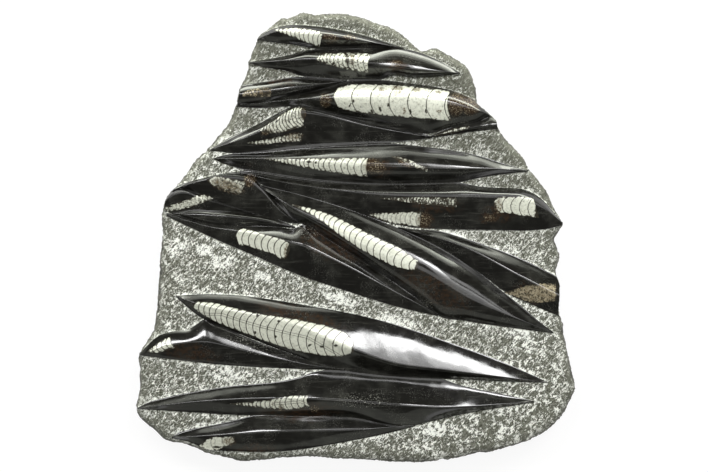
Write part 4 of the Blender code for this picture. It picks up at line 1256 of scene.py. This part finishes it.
def chamber_attributes(obj, name):
    """Writes what the calcite's finish reads: which chamber a point lies in, how long that is,
    where the point lies across the shell, and the shell's own look."""
    shell = SHELLS[name]
    x, y, _ = read(obj.data.vertices, "co", 3).T / MM
    apex, mouth = [np.add(shell["upper"][end], shell["lower"][end]) / 2 for end in (0, -1)]
    length = float(np.hypot(*(mouth - apex)))
    along = (mouth - apex) / length
    run = (x - apex[0]) * along[0] + (y - apex[1]) * along[1]
    offset = (y - apex[1]) * along[0] - (x - apex[0]) * along[1]
    # Half width and middle line along the shell, measured across its axis.
    edges = []
    for side in ("upper", "lower"):
        edge = edge_points(shell[side], np.linspace(0.0, 1.0, CURVE_SAMPLES)) - apex
        edges.append(np.interp(run, edge @ along, edge[:, 1] * along[0] - edge[:, 0] * along[1]))
    high, low = edges
    half = np.maximum((high - low) / 2, 0.5)
    across = np.clip((offset - (high + low) / 2) / half, -1.2, 1.2)
    margin = np.minimum((1.0 - np.abs(across)) * half, length - run)
    first, last, wall, ragged, brown, _ = LOOKS[name]
    # A wall's edges reach further towards the mouth than its middle does.
    bowed = run - SEPTUM_BOW * 2 * half * np.abs(across) ** SEPTUM_CURVE
    growth = (last - first) / length
    grown = np.maximum(first + growth * bowed, 0.5)
    count = bowed / first if growth == 0 else np.log(grown / first) / growth
    tube = np.full(len(x), NO_TUBE)
    if name in TUBES:
        shift, begin, end = TUBES[name]
        beyond = np.maximum(np.maximum(begin - run / length, run / length - end), 0.0)
        tube = (across - shift) * half + beyond * TUBE_FADE
    for attribute, values in (("chamber", count), ("chamber_length", grown), ("across", across),
                              ("margin", margin), ("tube", tube), ("wall", wall),
                              ("ragged", ragged), ("brown", brown)):
        add_attribute(obj.data, attribute, np.full(len(x), values))


# Dark breaks and smears in the shells, each an oval like the patches in the stone.
SMEARS = [
    (-6, 133, 1.7, 5.2, 8), (-73, -58, 1.2, 1.5, 0), (-75, -71, 1, 1.5, 0),
    (-59.5, -74, 1, 1.2, 0), (-57, -62.5, 1.2, 1, 0), (-34, -80.5, 1.7, 0.8, 20),
    (-25, -81.5, 1.7, 0.9, 10), (-14.5, -80.5, 1.4, 0.9, 0), (-4, 98.5, 1.9, 0.6, 60),
    (-1.5, 101.5, 0.9, 1.2, 0), (18.5, 95.5, 1, 2.2, 25), (24.5, 98.5, 0.9, 1.7, 0),
    (12.5, 94, 1.1, 1.9, 20), (-34.5, 56.5, 1.9, 1.2, 0), (-29.5, 56, 1, 1, 0),
    (-114, -152.5, 0.9, 4.5, -12), (-103.5, -157, 3.8, 0.9, 0), (-89.5, -154, 1, 3, 10),
    (41, 93.5, 0.9, 2.2, 0), (52.5, 94, 0.8, 2.2, 10),
]
CALCITE_WHITE = (0.72, 0.735, 0.63)
CALCITE_GREY = (0.33, 0.34, 0.27)
SUTURE_DARK = (0.030, 0.026, 0.018)
CALCITE_BROWN = (0.12, 0.09, 0.05)
CALCITE_TAN = (0.40, 0.35, 0.24)


def calcite(name, light, shade):
    """Calcite in chambers: pale fillings parted by thin dark walls, clouded and flecked."""
    finish = Finish(name)
    place = finish.place()
    ragged = finish.attribute("ragged")
    coarse = finish.noise(place, 2.6, 4.0, 0.65)
    fine = finish.noise(place, 1.1, 3.0, 0.65)
    length = finish.attribute("chamber_length")
    wobble = (coarse - 0.5) * (0.5 + ragged * 2.4) + (fine - 0.5) * ragged
    chamber = finish.attribute("chamber") + wobble / length
    away = abs(finish.maths("FRACT", chamber + 0.5) - 0.5) * length
    wall = finish.ramp(away, 0.16, 0.55, 1.0, 0.0) * finish.attribute("wall")
    number = finish.maths("FLOOR", chamber)
    tint = finish.node("TexWhiteNoise", {"noise_dimensions": "1D"}, {"W": number * 1.37 + 0.3})
    clouds = finish.ramp(finish.noise(place, 2.2, 5.0, 0.75), 0.42, 0.68)
    colour = finish.mix(clouds * (0.42 + ragged * 0.5) + tint * 0.15, light, shade)
    brown = finish.noise(place, 1.9, 4.0, 0.7) + finish.attribute("brown") * 0.35
    colour = finish.mix(finish.ramp(brown, 0.60, 0.72) * 0.8, colour, CALCITE_BROWN)
    crystals = finish.patches(finish.wander(place, 2.2, 4.5), CRYSTALS)
    grains = finish.ramp(fine, 0.42, 0.60)
    colour = finish.mix(crystals * (1 - grains * 0.75), colour, CALCITE_BROWN)
    flecks = finish.ramp(fine * 0.5 + coarse * 0.5 + ragged * 0.11, 0.59, 0.65)
    colour = finish.mix(flecks * (0.25 + ragged * 0.75), colour, SUTURE_DARK)
    colour = finish.mix(wall * finish.ramp(coarse, 0.28, 0.46, 0.6, 1.0), colour, SUTURE_DARK)
    rim = finish.ramp(abs(finish.attribute("across")), 0.90, 1.0)
    colour = finish.mix(rim * 0.45, colour, shade)
    siphon = abs(abs(finish.attribute("tube")) - TUBE_RADIUS)
    colour = finish.mix(finish.ramp(siphon, 0.08, 0.35, 0.7, 0.0), colour, SUTURE_DARK)
    smears = finish.patches(finish.wander(place, 1.6, 2.4), SMEARS)
    colour = finish.mix(smears, colour, SUTURE_DARK)
    # The shell's border has crumbled: black stone has filled the gaps.
    bite = (finish.noise(place, 2.8, 5.0, 0.7) - 0.47) * (ragged * 14.0 + 3.0)
    notch = finish.ramp(away, 0.0, 1.3, 0.8, 0.0) * finish.attribute("wall")
    lost = finish.ramp(finish.attribute("margin") - bite - notch, 0.0, 0.5, 1.0, 0.0)
    sheen = finish.ramp(clouds, 0.0, 1.0, 0.16, 0.26)
    return finish.cover(finish.mix(lost, colour, SUTURE_DARK), sheen, STONE_IOR)


def build_shells(stone):
    white = calcite("white_calcite", CALCITE_WHITE, CALCITE_GREY)
    brown = calcite("brown_calcite", CALCITE_TAN, CALCITE_BROWN)
    for name in SHELLS:
        body = build_shell_body(name)
        boolean(body, "INTERSECT", [stone])
        owner = face_owners(body.data)
        body.data.materials.clear()
        body.data.materials.append(brown if name in BROWN_SHELLS else white)
        body.data.polygons.foreach_set("material_index", np.zeros(len(owner), dtype=int))
        smooth_polish(body, owner)
        chamber_attributes(body, name)
        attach(body, "root")
        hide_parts("orthocone_" + name)


def cut_pockets(stone):
    """A pocket in the stone for each shell."""
    pockets = [build_shell_body(name, SEAM) for name in SHELLS]
    boolean(stone, "DIFFERENCE", pockets)
    discard(pockets)


build_shells(carved)
cut_pockets(carved)
dress_stone(carved)
carved.name = "carved_slab"
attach(carved, "root")
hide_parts("matrix_slab")
